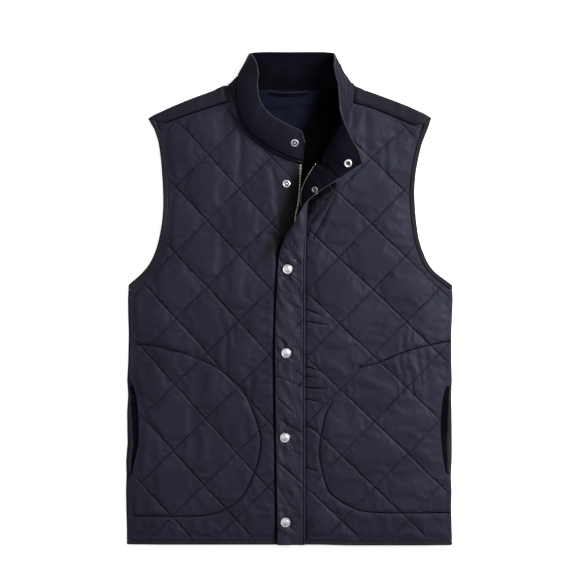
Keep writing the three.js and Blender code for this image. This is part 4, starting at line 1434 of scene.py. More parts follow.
@dataclass
class Front:
    """One quilted front with its stitch grooves, puffed diamonds, creases and pocket line."""

    side: Side
    pocket: list[tuple[float, float]]
    folds: list[Fold] = field(default_factory=lambda: FOLDS)
    puff: float = 1.5
    groove: float = 0.95
    pucker: float = 0.16
    swell: float = 0.5
    pressure: float = 0.5
    spare: float = 0.016
    rise: float = 1.2
    sink: float = 0.5

    def lifted(self, points: np.ndarray) -> np.ndarray:
        """Height of the inner face, with the rise beside the turned-back edge."""
        high = PATTERN.inner(points)
        if self.side is Side.LEFT:
            for x, y, rise, reach in LEFT_LIFTS:
                gap = (points[:, 0] - x) ** 2 + (points[:, 1] - y) ** 2
                high = high + rise * np.exp(-gap / (2 * reach * reach))
        return high

    def mouth(self) -> np.ndarray:
        """The curved pocket opening in the side edge, from its top down."""
        t = np.linspace(0, 1, 25)
        return np.column_stack([
            PATTERN.side_x - PATTERN.mouth_deep * np.sin(math.pi * t) ** 0.64,
            PATTERN.mouth_top + (PATTERN.mouth_bottom - PATTERN.mouth_top) * t,
        ])

    def outer_edge(self) -> np.ndarray:
        """The left front's outer edge, from the shoulder seam to the hem."""
        arm = PATTERN.inner_armhole()
        arm = arm[(arm[:, 1] < 262) & (arm[:, 0] < PATTERN.side_x) & (arm[:, 1] > 9)]
        side = PATTERN.side_x
        return np.vstack([[[201.6, 266.6]], arm, [[side, 11.4]], self.mouth(), [[side, PATTERN.hem_top]]])

    def outline(self) -> np.ndarray:
        """The front's outline, counter-clockwise, with points close together."""
        hem = PATTERN.hem_top
        seam = shifted(PATTERN.forward_seam(), -PATTERN.seam_gap)
        if self.side is Side.RIGHT:
            edge = Curve(PATTERN.right_edge).run(12)
            edge[0, 1] = hem
            across = mirrored(seam)
            across = across[(across[:, 0] < -88) & (across[:, 0] > -200)]
            neck = Curve(PATTERN.right_neck).run(14)[1:]
            loop = np.vstack([edge, neck, across, mirrored(self.outer_edge())])
        else:
            rows = np.array([(r[0], r[1]) for r in PLACKET_ROWS if -300 < r[1] <= 200])
            lap = PATTERN.placket_lap
            rows[:, 0] += -lap + (lap - 0.6) * smooth((rows[:, 1] - 90) / 50)
            across = seam[(seam[:, 0] > 99) & (seam[:, 0] < 200)]
            start = np.array([[PATTERN.placket_x - lap, hem]])
            loop = np.vstack([start, rows, Curve(PATTERN.left_neck).run(14), across, self.outer_edge()])[::-1]
        return dense(closed(loop), 3.0)[:-1]

    def relief(self, points: np.ndarray, loop: np.ndarray) -> np.ndarray:
        """Height of the outer face above the inner one.

        Args:
            points: Places in plan.
            loop: The front's outline.

        Returns:
            One height a place.
        """
        lattice = LATTICES[self.side]
        u, v = lattice.uv(points)
        x, y = points.T
        wide_u, wide_v = lattice.spacing()
        off_u, off_v = np.abs(u - np.round(u)) * wide_u, np.abs(v - np.round(v)) * wide_v
        part_u, part_v = u - np.floor(u), v - np.floor(v)
        crown = (16 * part_u * (1 - part_u) * part_v * (1 - part_v)) ** 0.5
        seed = 11 if self.side is Side.RIGHT else 12
        chance = np.random.default_rng(seed).uniform(0.72, 1.22, (40, 40))
        fill_up = chance[(np.floor(u).astype(int) + 20) % 40, (np.floor(v).astype(int) + 20) % 40]
        edge = smooth(line_distance(points, closed(loop)) / 16)
        if self.side is Side.LEFT:
            flat = smooth((x - 14) / 8) * smooth((46 - x) / 14) * smooth((120 - y) / 30)
            held = 1 - 0.7 * flat
        else:
            held = 0.15 + 0.85 * smooth((PLAIN_X - x) / 18)
        high = PATTERN.front_wall + self.puff * crown * fill_up * edge * held
        ripple = 0.0
        lit = np.where(v < np.round(v), 1.9, 1.05)
        steep = ((off_v, u * wide_u, np.round(v), 1.0, lit), (off_u, v * wide_v, np.round(u), 0.75, 1.05))
        for off, run, row, share, wide in steep:
            row = 40 * row
            along = SoftNoise(seed + 5, 4.6).at(run, row) + 0.6 * SoftNoise(seed + 6, 9.0).at(run, row)
            beside = np.exp(-((off - 4.5) / 4.5) ** 2)
            ripple = ripple + self.pucker * share * along * beside
            high = high - self.groove * share * np.exp(-((off / wide) ** 2)) * edge
        high = high + ripple * edge * held
        high = high + self.swell * SoftNoise(seed + 1, 46).at(x, y) * edge * crown
        high = high + 0.16 * SoftNoise(seed + 2, 13).at(x, 0.5 * y) * edge * crown
        for fold in self.folds:
            high = high - fold.dip(points) * edge
        rim = smooth(line_distance(points, closed(loop)) / 2)
        for seam in self.seams():
            gap = line_distance(points, seam.line)
            drawn = np.exp(-((gap / seam.wide) ** 2)) + 0.3 * np.exp(-((gap / 5.0) ** 2))
            high = high - seam.depth * drawn * rim
        shoulder = line_distance(folded(points), PATTERN.forward_seam())
        high = high - 0.9 * np.exp(-((shoulder / 1.7) ** 2))
        return np.maximum(high, 0.25)

    def seams(self) -> list[Seam]:
        """The lines besides the quilting that draw the cloth in.

        Returns:
            The seams of the pocket and of the placket.
        """
        line = Curve(self.pocket).run(110)
        if self.side is Side.LEFT:
            band = [(row[0] + 2.3, row[1]) for row in PLACKET_ROWS[:10]]
            parts = (line[:, 1] > -110, (line[:, 1] < -108) & (line[:, 1] > -160), line[:, 1] < -158)
            top, lost, low = (line[part] for part in parts)
            return [
                Seam(top, 1.7, 1.2), Seam(lost, 0.6, 2.0, False), Seam(low, 2.1, 1.2),
                Seam(Curve(band).run(90), 1.8, 1.1),
            ]
        under = [(row[6] - 1.2, row[1]) for row in PLACKET_ROWS[:7]]
        return [Seam(line, 2.1, 1.2), Seam(Curve(under).run(60), 1.5, 2.2, False)]

    def shade(self, places: np.ndarray) -> np.ndarray:
        """Which finish each place has: plain, painted shade by a stitch line, or near-black painted shade in
        a seam.

        Args:
            places: Places in plan.

        Returns:
            0, 1 or 2 a place.
        """
        lattice = LATTICES[self.side]
        (u, v), (wide_u, wide_v) = lattice.uv(places), lattice.spacing()
        patchy = SoftNoise(15, 9).at(*places.T)
        off_u, off_v = np.abs(u - np.round(u)) * wide_u, (v - np.round(v)) * wide_v
        # Painted shade along the stitch lines, wider on the lit side of one direction to cover its highlight.
        lines = ((off_u < 0.85) & (patchy > -0.1)) | ((off_v < 0.85) & (off_v > -1.5))
        finish = (lines & ((self.side is Side.LEFT) | (places[:, 0] < PLAIN_X - 2))).astype(int)
        if self.side is Side.LEFT:
            # Painted shade in the folds and puckers beside the turned-back edge.
            for fold in FLAP_FOLDS + PUCKERS:
                away = fold.away(places)
                taper = np.hypot(*(places - (fold.x1, fold.y1)).T)
                taper /= math.hypot(fold.x2 - fold.x1, fold.y2 - fold.y1)
                finish = np.where(away < 1.5 * (1 - 0.6 * taper), 1 + (away < 0.6 * (1.6 - taper)), finish)
            # Near-black painted shadow beside the turned-back edge.
            away = line_distance(places, FLAP_EDGE)
            finish = np.where(away < 5 + 3 * patchy, 2, finish)
        # Painted shade in the sewn seams, and near-black painted shadow under the placket's free edge on the
        # right front.
        for seam in self.seams():
            away = line_distance(places, seam.line)
            if seam.sewn:
                finish = np.where(away < 1.0, 1 + (patchy > -0.6), finish)
            elif self.side is Side.RIGHT:
                finish = np.where(away < 1.5, 2, finish)
        # Near-black painted shade along the shoulder seam.
        return np.where(line_distance(folded(places), PATTERN.forward_seam()) < 1.3, 2, finish)

    def spots(self, loop: np.ndarray) -> np.ndarray:
        """Points of the outer face: along the quilting, and in rows beside each seam.

        Args:
            loop: The front's outline.

        Returns:
            The points in plan.
        """
        spots = LATTICES[self.side].spots(loop, FINE_STEPS, EVEN_STEP)
        for seam in self.seams():
            line = dense(seam.line, 2.6)
            spots = spots[line_distance(spots, line) > 5.6]
            spots = np.vstack([spots, *(shifted(line, off) for off in SEAM_ROWS)])
        if self.side is Side.LEFT:
            for fold in FLAP_FOLDS + PUCKERS:
                line = dense(fold.ends(), 1.6)
                spots = spots[line_distance(spots, line) > 2.4]
                spots = np.vstack([spots, *(shifted(line, off) for off in PUCKER_ROWS)])
        return spots

    def stitch_rows(self, form: Form, loop: np.ndarray) -> None:
        """Adds the quilting stitches and the pocket's stitches.

        Args:
            form: Where they are added.
            loop: The front's outline.
        """
        for path in LATTICES[self.side].lines(loop, 0.02):
            near = inside(path, loop) & (line_distance(path, closed(loop)) > 3)
            if self.side is Side.RIGHT:
                near &= path[:, 0] < PLAIN_X
            self.stitch_runs(form, path, near, loop)
        for seam in self.seams():
            near = inside(seam.line, loop) & (line_distance(seam.line, closed(loop)) > 3) & seam.sewn
            self.stitch_runs(form, seam.line, near, loop)

    def stitch_runs(self, form: Form, path: np.ndarray, keep: np.ndarray, loop: np.ndarray) -> None:
        """Adds stitches along the kept runs of a line.

        Args:
            form: Where they are added.
            path: Points of the line in plan.
            keep: Which of them are kept.
            loop: The front's outline.
        """
        for run in kept_runs(path, keep, 4):
            z = self.lifted(run) + self.relief(run, loop)
            stitches(form, np.column_stack([run, z]), UP)

    def puff_up(self, cloth: bpy.types.Object, loop: np.ndarray) -> None:
        """Lets the padding swell the cloth between its stitch lines, which stay where they are.

        Args:
            cloth: The front's mesh.
            loop: The front's outline.
        """
        mesh = cloth.data
        points = np.zeros(len(mesh.vertices) * 3)
        mesh.vertices.foreach_get("co", points)
        points = points.reshape(-1, 3) / MM
        plan = points[:, :2]
        lattice = LATTICES[self.side]
        u, v = lattice.uv(plan)
        wide_u, wide_v = lattice.spacing()
        gap = np.minimum(np.abs(u - np.round(u)) * wide_u, np.abs(v - np.round(v)) * wide_v)
        loose = (gap > 0.9) & (line_distance(plan, closed(loop)) > 3.5)
        loose &= points[:, 2] > self.lifted(plan) + PATTERN.front_wall / 2
        for seam in self.seams():
            loose &= line_distance(plan, seam.line) > 1.2
        if self.side is Side.RIGHT:
            loose &= plan[:, 0] < PLAIN_X
        held = cloth.vertex_groups.new(name="held")
        held.add(np.flatnonzero(~loose).tolist(), 1.0, "REPLACE")
        modifier = cloth.modifiers.new("padding", "CLOTH")
        settings = modifier.settings
        settings.quality = 4
        settings.mass = 0.15
        settings.tension_stiffness = settings.compression_stiffness = 12
        settings.shear_stiffness = 4
        settings.bending_stiffness = 0.08
        settings.air_damping = 3
        settings.vertex_group_mass = held.name
        settings.use_pressure = True
        settings.uniform_pressure_force = self.pressure
        settings.shrink_min = -self.spare
        settings.effector_weights.gravity = 0
        modifier.collision_settings.use_collision = False
        modifier.point_cache.frame_start, modifier.point_cache.frame_end = 1, SIMULATED_FRAMES
        for moment in range(1, SIMULATED_FRAMES + 1):
            bpy.context.scene.frame_set(moment)
        shown = cloth.evaluated_get(bpy.context.evaluated_depsgraph_get())
        after = np.zeros(len(points) * 3)
        shown.data.vertices.foreach_get("co", after)
        move = after.reshape(-1, 3) / MM - points
        move[:, :2] = np.clip(move[:, :2], -1.2, 1.2)
        move[:, 2] = np.clip(move[:, 2], -self.sink, self.rise)
        move[~loose] = 0
        cloth.modifiers.remove(modifier)
        cloth.vertex_groups.remove(held)
        bpy.context.scene.frame_set(1)
        mesh.vertices.foreach_set("co", ((points + move) * MM).ravel())
        mesh.update()

    def build(self, finishes: Finishes) -> None:
        """Makes the front and its stitches.

        Args:
            finishes: The finishes.
        """
        name = self.side.word
        loop = self.outline()
        form = Form()
        cloth_wall(
            form, loop, self.spots(loop),
            lambda p: self.lifted(p) + self.relief(p, loop), self.lifted, reach=1.6, finish=self.shade,
        )
        cloth = form.piece(f"front_{name}_cloth")
        self.puff_up(cloth, loop)
        # Each front takes its shell copy with painted shadow near the turned-back placket.
        shell = finishes.shell_shaded_under_flap if self.side is Side.LEFT else finishes.shell_shaded_beside_flap
        dress(cloth, [shell, finishes.drawn, finishes.shade], Slot.SHELL, f"front_{name}")
        thread = Form()
        self.stitch_rows(thread, loop)
        dress(thread.piece(f"front_{name}_stitching"), finishes.thread, Slot.SHELL)


# Placket sections as (seam x, y, z, middle x, y, z, free edge x, y, z). It turns over near the neck.
PLACKET_ROWS = [
    (24.5, -383, 13, 3.5, -383, 13, -17.4, -383, 13),
    (24.5, -217, 13, 2.5, -217, 13.2, -19.7, -217, 13),
    (24.4, -62, 13, 1.8, -62, 13.2, -21.2, -62, 13),
    (24.5, 20, 13, 3.2, 20, 13.2, -18.2, 20, 13),
    (24.7, 50, 13, 4.2, 50, 13.2, -16.6, 50, 13),
    (25, 68, 13.1, 6, 68, 16.5, -14.6, 68, 14.8),
    (25.7, 93, 13.6, 12, 95, 25.5, -5.6, 93.5, 20),
    (26.6, 112, 14.6, 22, 117, 31.5, 10, 118, 28),
    (28, 133, 16, 20.6, 134, 28.5, 17, 132, 34),
    (30, 150, 17.6, 20, 147, 27.5, 26.4, 145.7, 33),
    (32, 167, 19.2, 21.5, 161, 28, 39.2, 158.6, 29.5),
    (38.5, 183, 20.6, 27.5, 177, 29, 54.7, 169.4, 25.5),
    (46, 195, 22, 38, 194.5, 29.8, 69.9, 179.3, 22.6),
    (50.5, 202.5, 22.6, 46, 206, 30, 76.4, 184.5, 21.4),
]

# Collar stations as (neck seam x, y, z, free edge x, y, z, bow), from the right end round the back.
COLLAR_ROWS = [
    (22.2, 208.7, 11.5, 24.5, 240, 27, 1),
    (17.5, 209.6, 11.5, 19.1, 256.5, 31, 2),
    (-3.4, 215.5, 11.5, 5.1, 264.3, 33, 3),
    (-39.8, 235.6, 12, -22.8, 279, 35, 4),
    (-69.8, 262, 12, -42.2, 300.7, 36, 5),
    (-83.9, 300.7, 12, -48.4, 334.8, 34, 5),
    (-89.4, 317.8, 12.4, -52.2, 361.2, 29, 4),
    (-92.4, 328.4, 12.4, -57.4, 374.3, 21, 2),
    (-94.4, 331.4, 8.8, -61.2, 379, 12, 0),
    (-87.9, 328.9, 3.6, -60, 381.3, 4.4, 0),
    (-67.7, 325, 1.4, -50.7, 382.7, 1.4, 0),
    (0.5, 322.2, 1.4, 3.6, 383, 1.4, 0),
    (71.8, 324.2, 1.4, 60.9, 382.7, 1.4, 0),
    (91.9, 328.9, 3.6, 68.7, 381.3, 4.4, 0),
    (101.4, 331.4, 8.8, 71.8, 377.4, 13, 0),
    (101.2, 326.4, 12.4, 72.2, 368.9, 24, 1),
    (98.9, 313.1, 12.4, 73, 353.4, 34, 3),
    (95.8, 297.6, 12, 74.9, 330.2, 41, 4),
    (87.3, 276, 12, 76.1, 308.5, 43, 4),
    (73.3, 256, 13.5, 77.5, 291.4, 42.5, 3),
    (61.5, 239, 18.5, 81.8, 276.7, 40, 2),
    (56.8, 223.4, 24, 88.8, 260.4, 35, 1),
    (57.2, 208.3, 28.4, 98.1, 241.8, 28, 0),
    (67.6, 198, 25.4, 106.6, 227.9, 22.4, 0),
    (78.4, 185.8, 21.6, 112.8, 209.3, 18.4, 0),
]

# Where the collar tucks in over each shoulder: place round the neck, depth and reach.
COLLAR_TUCKS = ((0.345, 6.2, 0.04), (0.583, 4.5, 0.035))
TUCK_PEAK = 0.22

# The fold line above the neck seam on the right side: places round the neck, and how far up it lies there.
COLLAR_FOLD = ((0, 0.17, 0.21, 0.25, 0.29, 0.33, 0.37), (0.11, 0.12, 0.17, 0.25, 0.3, 0.31, 0.3))

# Slanting creases of the placket between its caps.
PLACKET_FOLDS = [
    Fold(-19.7, -121, 17.5, -136, 1.0, 2.2), Fold(-16.6, -156.6, 6, -177, 1.1, 2.0),
    Fold(-13.5, -257, 21, -288, 1.7, 1.8), Fold(11, -140, 22, -130, 1.3, 1.7),
    Fold(8, -48, 22, -34, 1.3, 1.7),
    Fold(2, 37, 18, 24, 1.2, 1.8), Fold(-7, -3, 20, -18, 0.9, 2.4), Fold(-13, -189, 17, -208, 0.9, 2.2),
    Fold(-12, 22, 4, 6, 0.9, 2.2), Fold(9, -112, 20, -120, 1.0, 1.8), Fold(-18, -60, -4, -72, 0.9, 2.0),
    Fold(7, -236, 20, -244, 0.8, 2.0), Fold(-2, -318, 16, -330, 0.7, 2.2), Fold(6, 62, 20, 52, 1.0, 2.0),
]

# Middles of the placket's closed snaps, from the top down.
CLOSED_SNAPS = [(-1.9, 44.6), (-3.9, -85.4), (-6.0, -216.5), (-5.0, -347.7)]

# Places of the placket's points across it, closer together beside its stitch rows.
PLACKET_ACROSS = np.concatenate([
    [0, 0.004, 0.012, 0.021, 0.03, 0.04, 0.05, 0.06, 0.075], np.linspace(0.1, 0.94, 32),
    [0.965, 0.983, 0.994, 1.0],
])


@dataclass
class Placket:
    """The placket band: flat down the front, turned over near the neck, puckered round its caps."""

    crinkle: float = 1.5
    dimple: float = 1.3
    spoke: float = 1.1
    seam_v: float = 0.042
    edge_v: float = 0.93

    def __post_init__(self) -> None:
        """Sets up the surface through the sections."""
        rows = np.array(PLACKET_ROWS, float)
        self.seam = Curve(rows[:, 0:3])
        self.middle = Curve(rows[:, 3:6])
        self.free = Curve(rows[:, 6:9])
        run = np.linspace(0, 1, 400)
        gone = reaches(self.seam.at(run))
        even = np.interp(np.linspace(0, gone[-1], 500), gone, run)
        self.sheet = Sheet(self.at, PATTERN.placket_thick, even, PLACKET_ACROSS, self.relief, band=self.drawn)
        facing = self.sheet.normal(np.array([0.1]), np.array([0.5]))[0]
        self.sheet.turn = float(np.sign(facing[2]))

    def at(self, s: np.ndarray, v: np.ndarray) -> np.ndarray:
        """Points of the band.

        Args:
            s: Places up it.
            v: Places from its seam to its free edge.

        Returns:
            The points.
        """
        seam, middle, free = self.seam.at(s), self.middle.at(s), self.free.at(s)
        control = 2 * middle - 0.5 * (seam + free)
        v = np.atleast_1d(v)[:, None]
        return seam * (1 - v) ** 2 + 2 * control * v * (1 - v) + free * v * v

    def creases(self, x: np.ndarray, y: np.ndarray) -> np.ndarray:
        """How strongly the crushed cloth round the caps creases at places in plan.

        Args:
            x: Their distances from the middle.
            y: Their heights on the garment.

        Returns:
            Values from 0 to 1.
        """
        nearest = np.min([np.hypot(x - sx, 0.7 * (y - sy)) for sx, sy in CLOSED_SNAPS], axis=0)
        crushed = 0.2 + 0.8 * np.exp(-((nearest / 32) ** 2))
        lines = [SoftNoise(seed, size).at(x + 0.3 * y, y - 0.5 * x) for seed, size in ((34, 15), (35, 11))]
        return crushed * np.max([np.exp(-((line / 0.12) ** 2)) for line in lines], axis=0)

    def drawn(self, s: np.ndarray, v: np.ndarray) -> np.ndarray:
        """Which places are painted in shade: near-black along the stitched seam, darker in a crease.

        Args:
            s: Places up the band.
            v: Places across it.

        Returns:
            The number of a finish for each place.
        """
        x, y = self.at(s, v).T[:2]
        places, creased = np.column_stack([x, y]), np.zeros(len(x), bool)
        for fold in PLACKET_FOLDS:
            creased |= fold.away(places) < 0.4 + 0.5 * fold.depth
        return np.where((np.abs(v - self.seam_v) < 0.016) & (s < 0.8), 3, 4 * creased)

    def relief(self, s: np.ndarray, v: np.ndarray, middle: np.ndarray) -> np.ndarray:
        """Crinkles, diagonal folds and the dimples that the caps press.

        Args:
            s: Places up the band; not used.
            v: Places across it.
            middle: Its points.

        Returns:
            Distance off its even surface.
        """
        x, y = middle[:, 0], middle[:, 1]
        inner = smooth(v / 0.16) * smooth((1 - v) / 0.1)
        off = self.crinkle * SoftNoise(31, 10).at(x + 0.6 * y, 0.45 * y - 0.4 * x) * inner
        off = off + 0.5 * SoftNoise(32, 24).at(x, y) * inner
        flat = smooth((60 - y) / 10)
        off = off - 1.2 * self.creases(x, y) * inner
        for sx, sy in CLOSED_SNAPS:
            gap = np.hypot(x - sx, y - sy)
            angle = np.arctan2(y - sy, x - sx)
            spokes = np.cos(5 * angle + 0.9 * np.sin(2 * angle + sy))
            off = off - self.dimple * np.exp(-((gap / 9.0) ** 4)) * flat
            off = off + self.spoke * spokes * np.exp(-(((gap - 13) / 6) ** 2)) * inner * flat
        places = np.column_stack([x, y])
        for fold in PLACKET_FOLDS:
            off = off - fold.dip(places) * inner
        groove = np.exp(-(((v - self.seam_v) / 0.02) ** 2))
        return off - 1.0 * groove

    def build(self, finishes: Finishes) -> None:
        """Makes the band and its stitch rows.

        Args:
            finishes: The finishes.
        """
        form = Form()
        self.sheet.build(form)
        # A rolled edge along the turned-over fold in the lighter edge cloth: a painted highlight.
        run = np.linspace(0.66, 1.0, 120)
        fold_over = self.sheet.on(run, np.full(len(run), 0.995), 0.0)
        sweep(form, fold_over, oval(1.5, PATTERN.placket_thick + 0.2, 10, 0.8),
              self.sheet.normal(run, np.full(len(run), 0.97)), 2)
        # Finishes: cloth, facing with painted shade, edge with painted highlight, painted seam shade, painted
        # crease shade.
        finish = [finishes.placket, finishes.facing, finishes.edge, finishes.shade, finishes.drawn]
        cloth = dress(form.piece("placket_cloth"), finish, Slot.SHELL, "placket")
        thread = Form()
        run = np.linspace(0.004, 0.996, 500)
        for v in (self.seam_v, self.edge_v):
            across = np.full(len(run), v)
            path = self.sheet.on(run, across, PATTERN.placket_thick / 2 + 0.05)
            stitches(thread, path, self.sheet.normal(run, across))
        dress(thread.piece("placket_stitching"), finishes.thread, Slot.SHELL)


@dataclass
class Collar:
    """The stand collar, one band from the right front round the back to its turned end."""

    fronts: dict[Side, Front]
    crinkle: float = 0.7
    stitch_v: float = 0.94
    lowest: float = 0.32

    def __post_init__(self) -> None:
        """Sets up the surface, seated on the fronts that it is sewn to."""
        rows = np.array(COLLAR_ROWS, float)
        for row in rows:
            if row[1] < 306:
                front = self.fronts[Side.RIGHT if row[0] < 30 else Side.LEFT]
                seat = front.lifted(row[None, :2])[0] + PATTERN.front_wall
                seat = seat + PATTERN.collar_thick / 2 + PATTERN.seam_gap
                row[2] = max(row[2], seat)
        self.seam = Curve(rows[:, 0:3])
        self.edge = Curve(rows[:, 3:6])
        self.bow = Curve(np.column_stack([rows[:, 6], np.zeros((len(rows), 2))]))
        self.sheet = Sheet(
            self.at, PATTERN.collar_thick, np.linspace(0, 1, 420), eased(40, 0.06), self.relief,
            band=self.foot,
        )
        facing = self.sheet.normal(np.array([0.1]), np.array([0.5]))[0]
        self.sheet.turn = float(np.sign(facing[2]))

    def at(self, s: np.ndarray, v: np.ndarray) -> np.ndarray:
        """Points of the band.

        Args:
            s: Places round the neck.
            v: Places from its seam to its free edge.

        Returns:
            The points.
        """
        seam, edge = self.seam.at(s), self.edge.at(s)
        span = edge - seam
        ahead = self.seam.at(np.minimum(1, s + 0.01)) - self.seam.at(np.maximum(0, s - 0.01))
        outward = np.cross(span, ahead)
        outward /= np.maximum(np.linalg.norm(outward, axis=1), 1e-9)[:, None]
        v = np.atleast_1d(v)[:, None]
        tuck = sum(
            depth * np.exp(-(((np.atleast_1d(s) - middle) / reach) ** 2))
            for middle, depth, reach in COLLAR_TUCKS
        )
        tuck = tuck[:, None] * (v / TUCK_PEAK) * np.exp(1 - v / TUCK_PEAK) * (1 - v)
        bow = self.bow.at(s)[:, :1] * 4 * v * (1 - v)
        point = seam + span * v + outward * (bow - tuck)
        point[:, 2] = np.maximum(point[:, 2], PATTERN.collar_thick / 2 + PATTERN.seam_gap / 3)
        return point

    @staticmethod
    def foot(s: np.ndarray, v: np.ndarray) -> np.ndarray:
        """Which places are painted in shade along the fold line and the neck seam.

        Args:
            s: Places round the neck.
            v: Places up the band.

        Returns:
            The number of a finish for each place.
        """
        fold = np.abs(v - np.interp(s, *COLLAR_FOLD)) < 0.022
        return 3 * ((fold & (s < COLLAR_FOLD[0][-1])) | (v < 0.025))

    def relief(self, s: np.ndarray, v: np.ndarray, middle: np.ndarray) -> np.ndarray:
        """Soft crinkles that run up the band, its fold line and the crush on its left side.

        Args:
            s: Places round the neck.
            v: Places up the band.
            middle: Its points.

        Returns:
            Distance off its even surface.
        """
        inner = smooth(v / 0.15) * smooth((1 - v) / 0.15)
        around = s * 560
        standing = smooth((middle[:, 2] - 5) / 6)
        off = self.crinkle * SoftNoise(41, 8).at(around, 12 * v) * standing
        off = off + 1.0 * SoftNoise(42, 26).at(around, 20 * v) * standing
        crushed = smooth((s - 0.56) / 0.03) * smooth((0.79 - s) / 0.04) * smooth((0.85 - v) / 0.2)
        off = off + 1.0 * SoftNoise(43, 3.6).at(46 * v, 0.2 * around) * crushed
        fold = np.exp(-(((v - np.interp(s, *COLLAR_FOLD)) / 0.03) ** 2)) * smooth((0.38 - s) / 0.03)
        return off * inner - 1.0 * fold * smooth(v / 0.05)

    def build(self, finishes: Finishes) -> None:
        """Makes the band and its edge stitching.

        Args:
            finishes: The finishes.
        """
        form = Form()
        self.sheet.build(form)
        # A rolled free edge in the lighter edge cloth: a painted highlight.
        run = np.linspace(0.0, 1.0, 420)
        top = np.full(len(run), 0.985)
        sweep(form, self.sheet.on(run, top, 0.0), oval(1.7, PATTERN.collar_thick + 0.3, 12, 0.8),
              self.sheet.normal(run, top), 2)
        # Finishes: cloth, facing with painted shade, edge with painted highlight, painted shade.
        finish = [finishes.collar, finishes.facing, finishes.edge, finishes.shade]
        cloth = dress(form.piece("collar_cloth"), finish, Slot.COLLAR, "collar")
        thread = Form()
        run = np.linspace(0.006, 0.994, 700)
        for side in (1, -1):
            across = np.full(len(run), self.stitch_v)
            path = self.sheet.on(run, across, side * (PATTERN.collar_thick / 2 + 0.02))
            path[:, 2] = np.maximum(path[:, 2], self.lowest)
            stitches(thread, path, side * self.sheet.normal(run, across))
        dress(thread.piece("collar_stitching"), finishes.thread, Slot.COLLAR)


@dataclass
class Back:
    """The back panel, flat on the table, wrapped forward over both shoulders."""

    relief: float = 0.8
    fold_reach: float = 4.0
    lowest: float = 0.35

    def outline(self) -> np.ndarray:
        """The flat panel's outline, counter-clockwise."""
        side = PATTERN.half_width
        arm, tip_y = PATTERN.inner_armhole(), PATTERN.tip_y
        arm = arm[(arm[:, 0] < side) & (arm[:, 1] < tip_y)]
        half = np.vstack([PATTERN.shoulder, [[216, tip_y], [207.4, tip_y]], arm, [[side, 11.4]]])
        hem = PATTERN.hem_top
        loop = np.vstack([
            Curve(PATTERN.back_neck).run(16), half, [[side, hem], [-side, hem]], mirrored(half[::-1]),
        ])[::-1]
        return dense(closed(loop), 4.0)[:-1]

    def strip(self) -> np.ndarray:
        """The left shoulder strip's outline, counter-clockwise."""
        seam = PATTERN.forward_seam()
        seam = seam[(seam[:, 0] > 96) & (seam[:, 0] < 203)]
        arm, tip_y = PATTERN.inner_armhole(), PATTERN.tip_y
        arm = arm[(arm[:, 1] < tip_y) & (arm[:, 1] > 268.5)]
        loop = np.vstack([
            [[92.5, 330.5]], PATTERN.shoulder, [[216.4, tip_y - 0.4], [206.6, tip_y - 0.4]], arm, seam[::-1],
            [[88.0, 305.6]],
        ])[::-1]
        return dense(closed(loop), 2.5)[:-1]

    def build(self, finishes: Finishes) -> None:
        """Makes the panel with quilting on its outer face, and its shoulder strips.

        Args:
            finishes: The finishes.
        """
        form = Form()
        loop = self.outline()

        def under(points: np.ndarray) -> np.ndarray:
            """Height of the outer face, which lies on the table on the crowns of its diamonds."""
            u, v = BACK_LATTICE.uv(points)
            part_u, part_v = u - np.floor(u), v - np.floor(v)
            crown = np.sqrt(np.sqrt(16 * part_u * (1 - part_u) * part_v * (1 - part_v)))
            edge = smooth(line_distance(points, closed(loop)) / 12)
            return self.relief * (1 - crown) * edge

        turned_over = Form()
        spots = BACK_LATTICE.spots(loop, BACK_FINE_STEPS, BACK_EVEN_STEP)
        cloth_wall(
            turned_over, loop, spots,
            lambda p: -under(p),
            lambda p: np.full(len(p), -PATTERN.back_thick),
            reach=1.4,
        )
        points = np.vstack(turned_over.points) * np.array([1, 1, -1.0])
        form.add(points, np.array(turned_over.faces)[:, ::-1])
        fold = np.array(PATTERN.shoulder[1:], float)
        for sign in (1, -1):
            edge = self.strip()
            wavy = SoftNoise(51 + sign, 9)

            def top(p: np.ndarray) -> np.ndarray:
                """Outer face of the strip, drawn in along its seam."""
                flat = folded(p)
                seam = line_distance(flat, PATTERN.forward_seam())
                rise = 1.0 * smooth(seam / 7) + 0.6 * wavy.at(p[:, 0], p[:, 1] * 0.4) * smooth(seam / 3)
                rise = rise - 0.8 * np.exp(-((seam / 1.6) ** 2)) - 3.2 * smooth((104 - flat[:, 0]) / 8)
                return PATTERN.inner(flat) + PATTERN.front_wall + rise

            def low(p: np.ndarray) -> np.ndarray:
                """Inner face of the strip, down to the table along its fold."""
                flat = folded(p)
                close = line_distance(flat, fold) < self.fold_reach
                return np.where(close, 0.05, PATTERN.inner(flat) - 0.4)

            plan = edge if sign > 0 else mirrored(edge)[::-1]
            spots = grid(sign * np.arange(90, 225, 2.6), np.arange(255, 335, 2.6))

            def shade(places: np.ndarray) -> np.ndarray:
                """Painted shade over the strip, and near-black painted shade along the seam beside the front.
                """
                return 1 + (line_distance(folded(places), PATTERN.forward_seam()) < 1.2)

            cloth_wall(form, plan, spots, top, low, 2.4, 6.0, shade)
        # The strips take the darker shell copy as painted shade.
        finish = [finishes.shell, finishes.shoulder, finishes.shade]
        cloth = dress(form.piece("back_cloth"), finish, Slot.SHELL, "back_panel")
        self.stitch(finishes, loop, under)

    def stitch(self, finishes: Finishes, loop: np.ndarray, under: Height) -> None:
        """Adds the quilting stitches on the outer face.

        Args:
            finishes: The finishes.
            loop: The panel's outline.
            under: Height of its outer face.
        """
        thread = Form()
        for path in BACK_LATTICE.lines(loop, 0.05):
            keep = inside(path, loop) & (line_distance(path, closed(loop)) > 4)
            for part in kept_runs(path, keep, 3):
                low = np.maximum(under(part), self.lowest)
                stitches(thread, np.column_stack([part, low]), DOWN, thick=0.4)
        dress(thread.piece("back_stitching"), finishes.thread, Slot.SHELL)


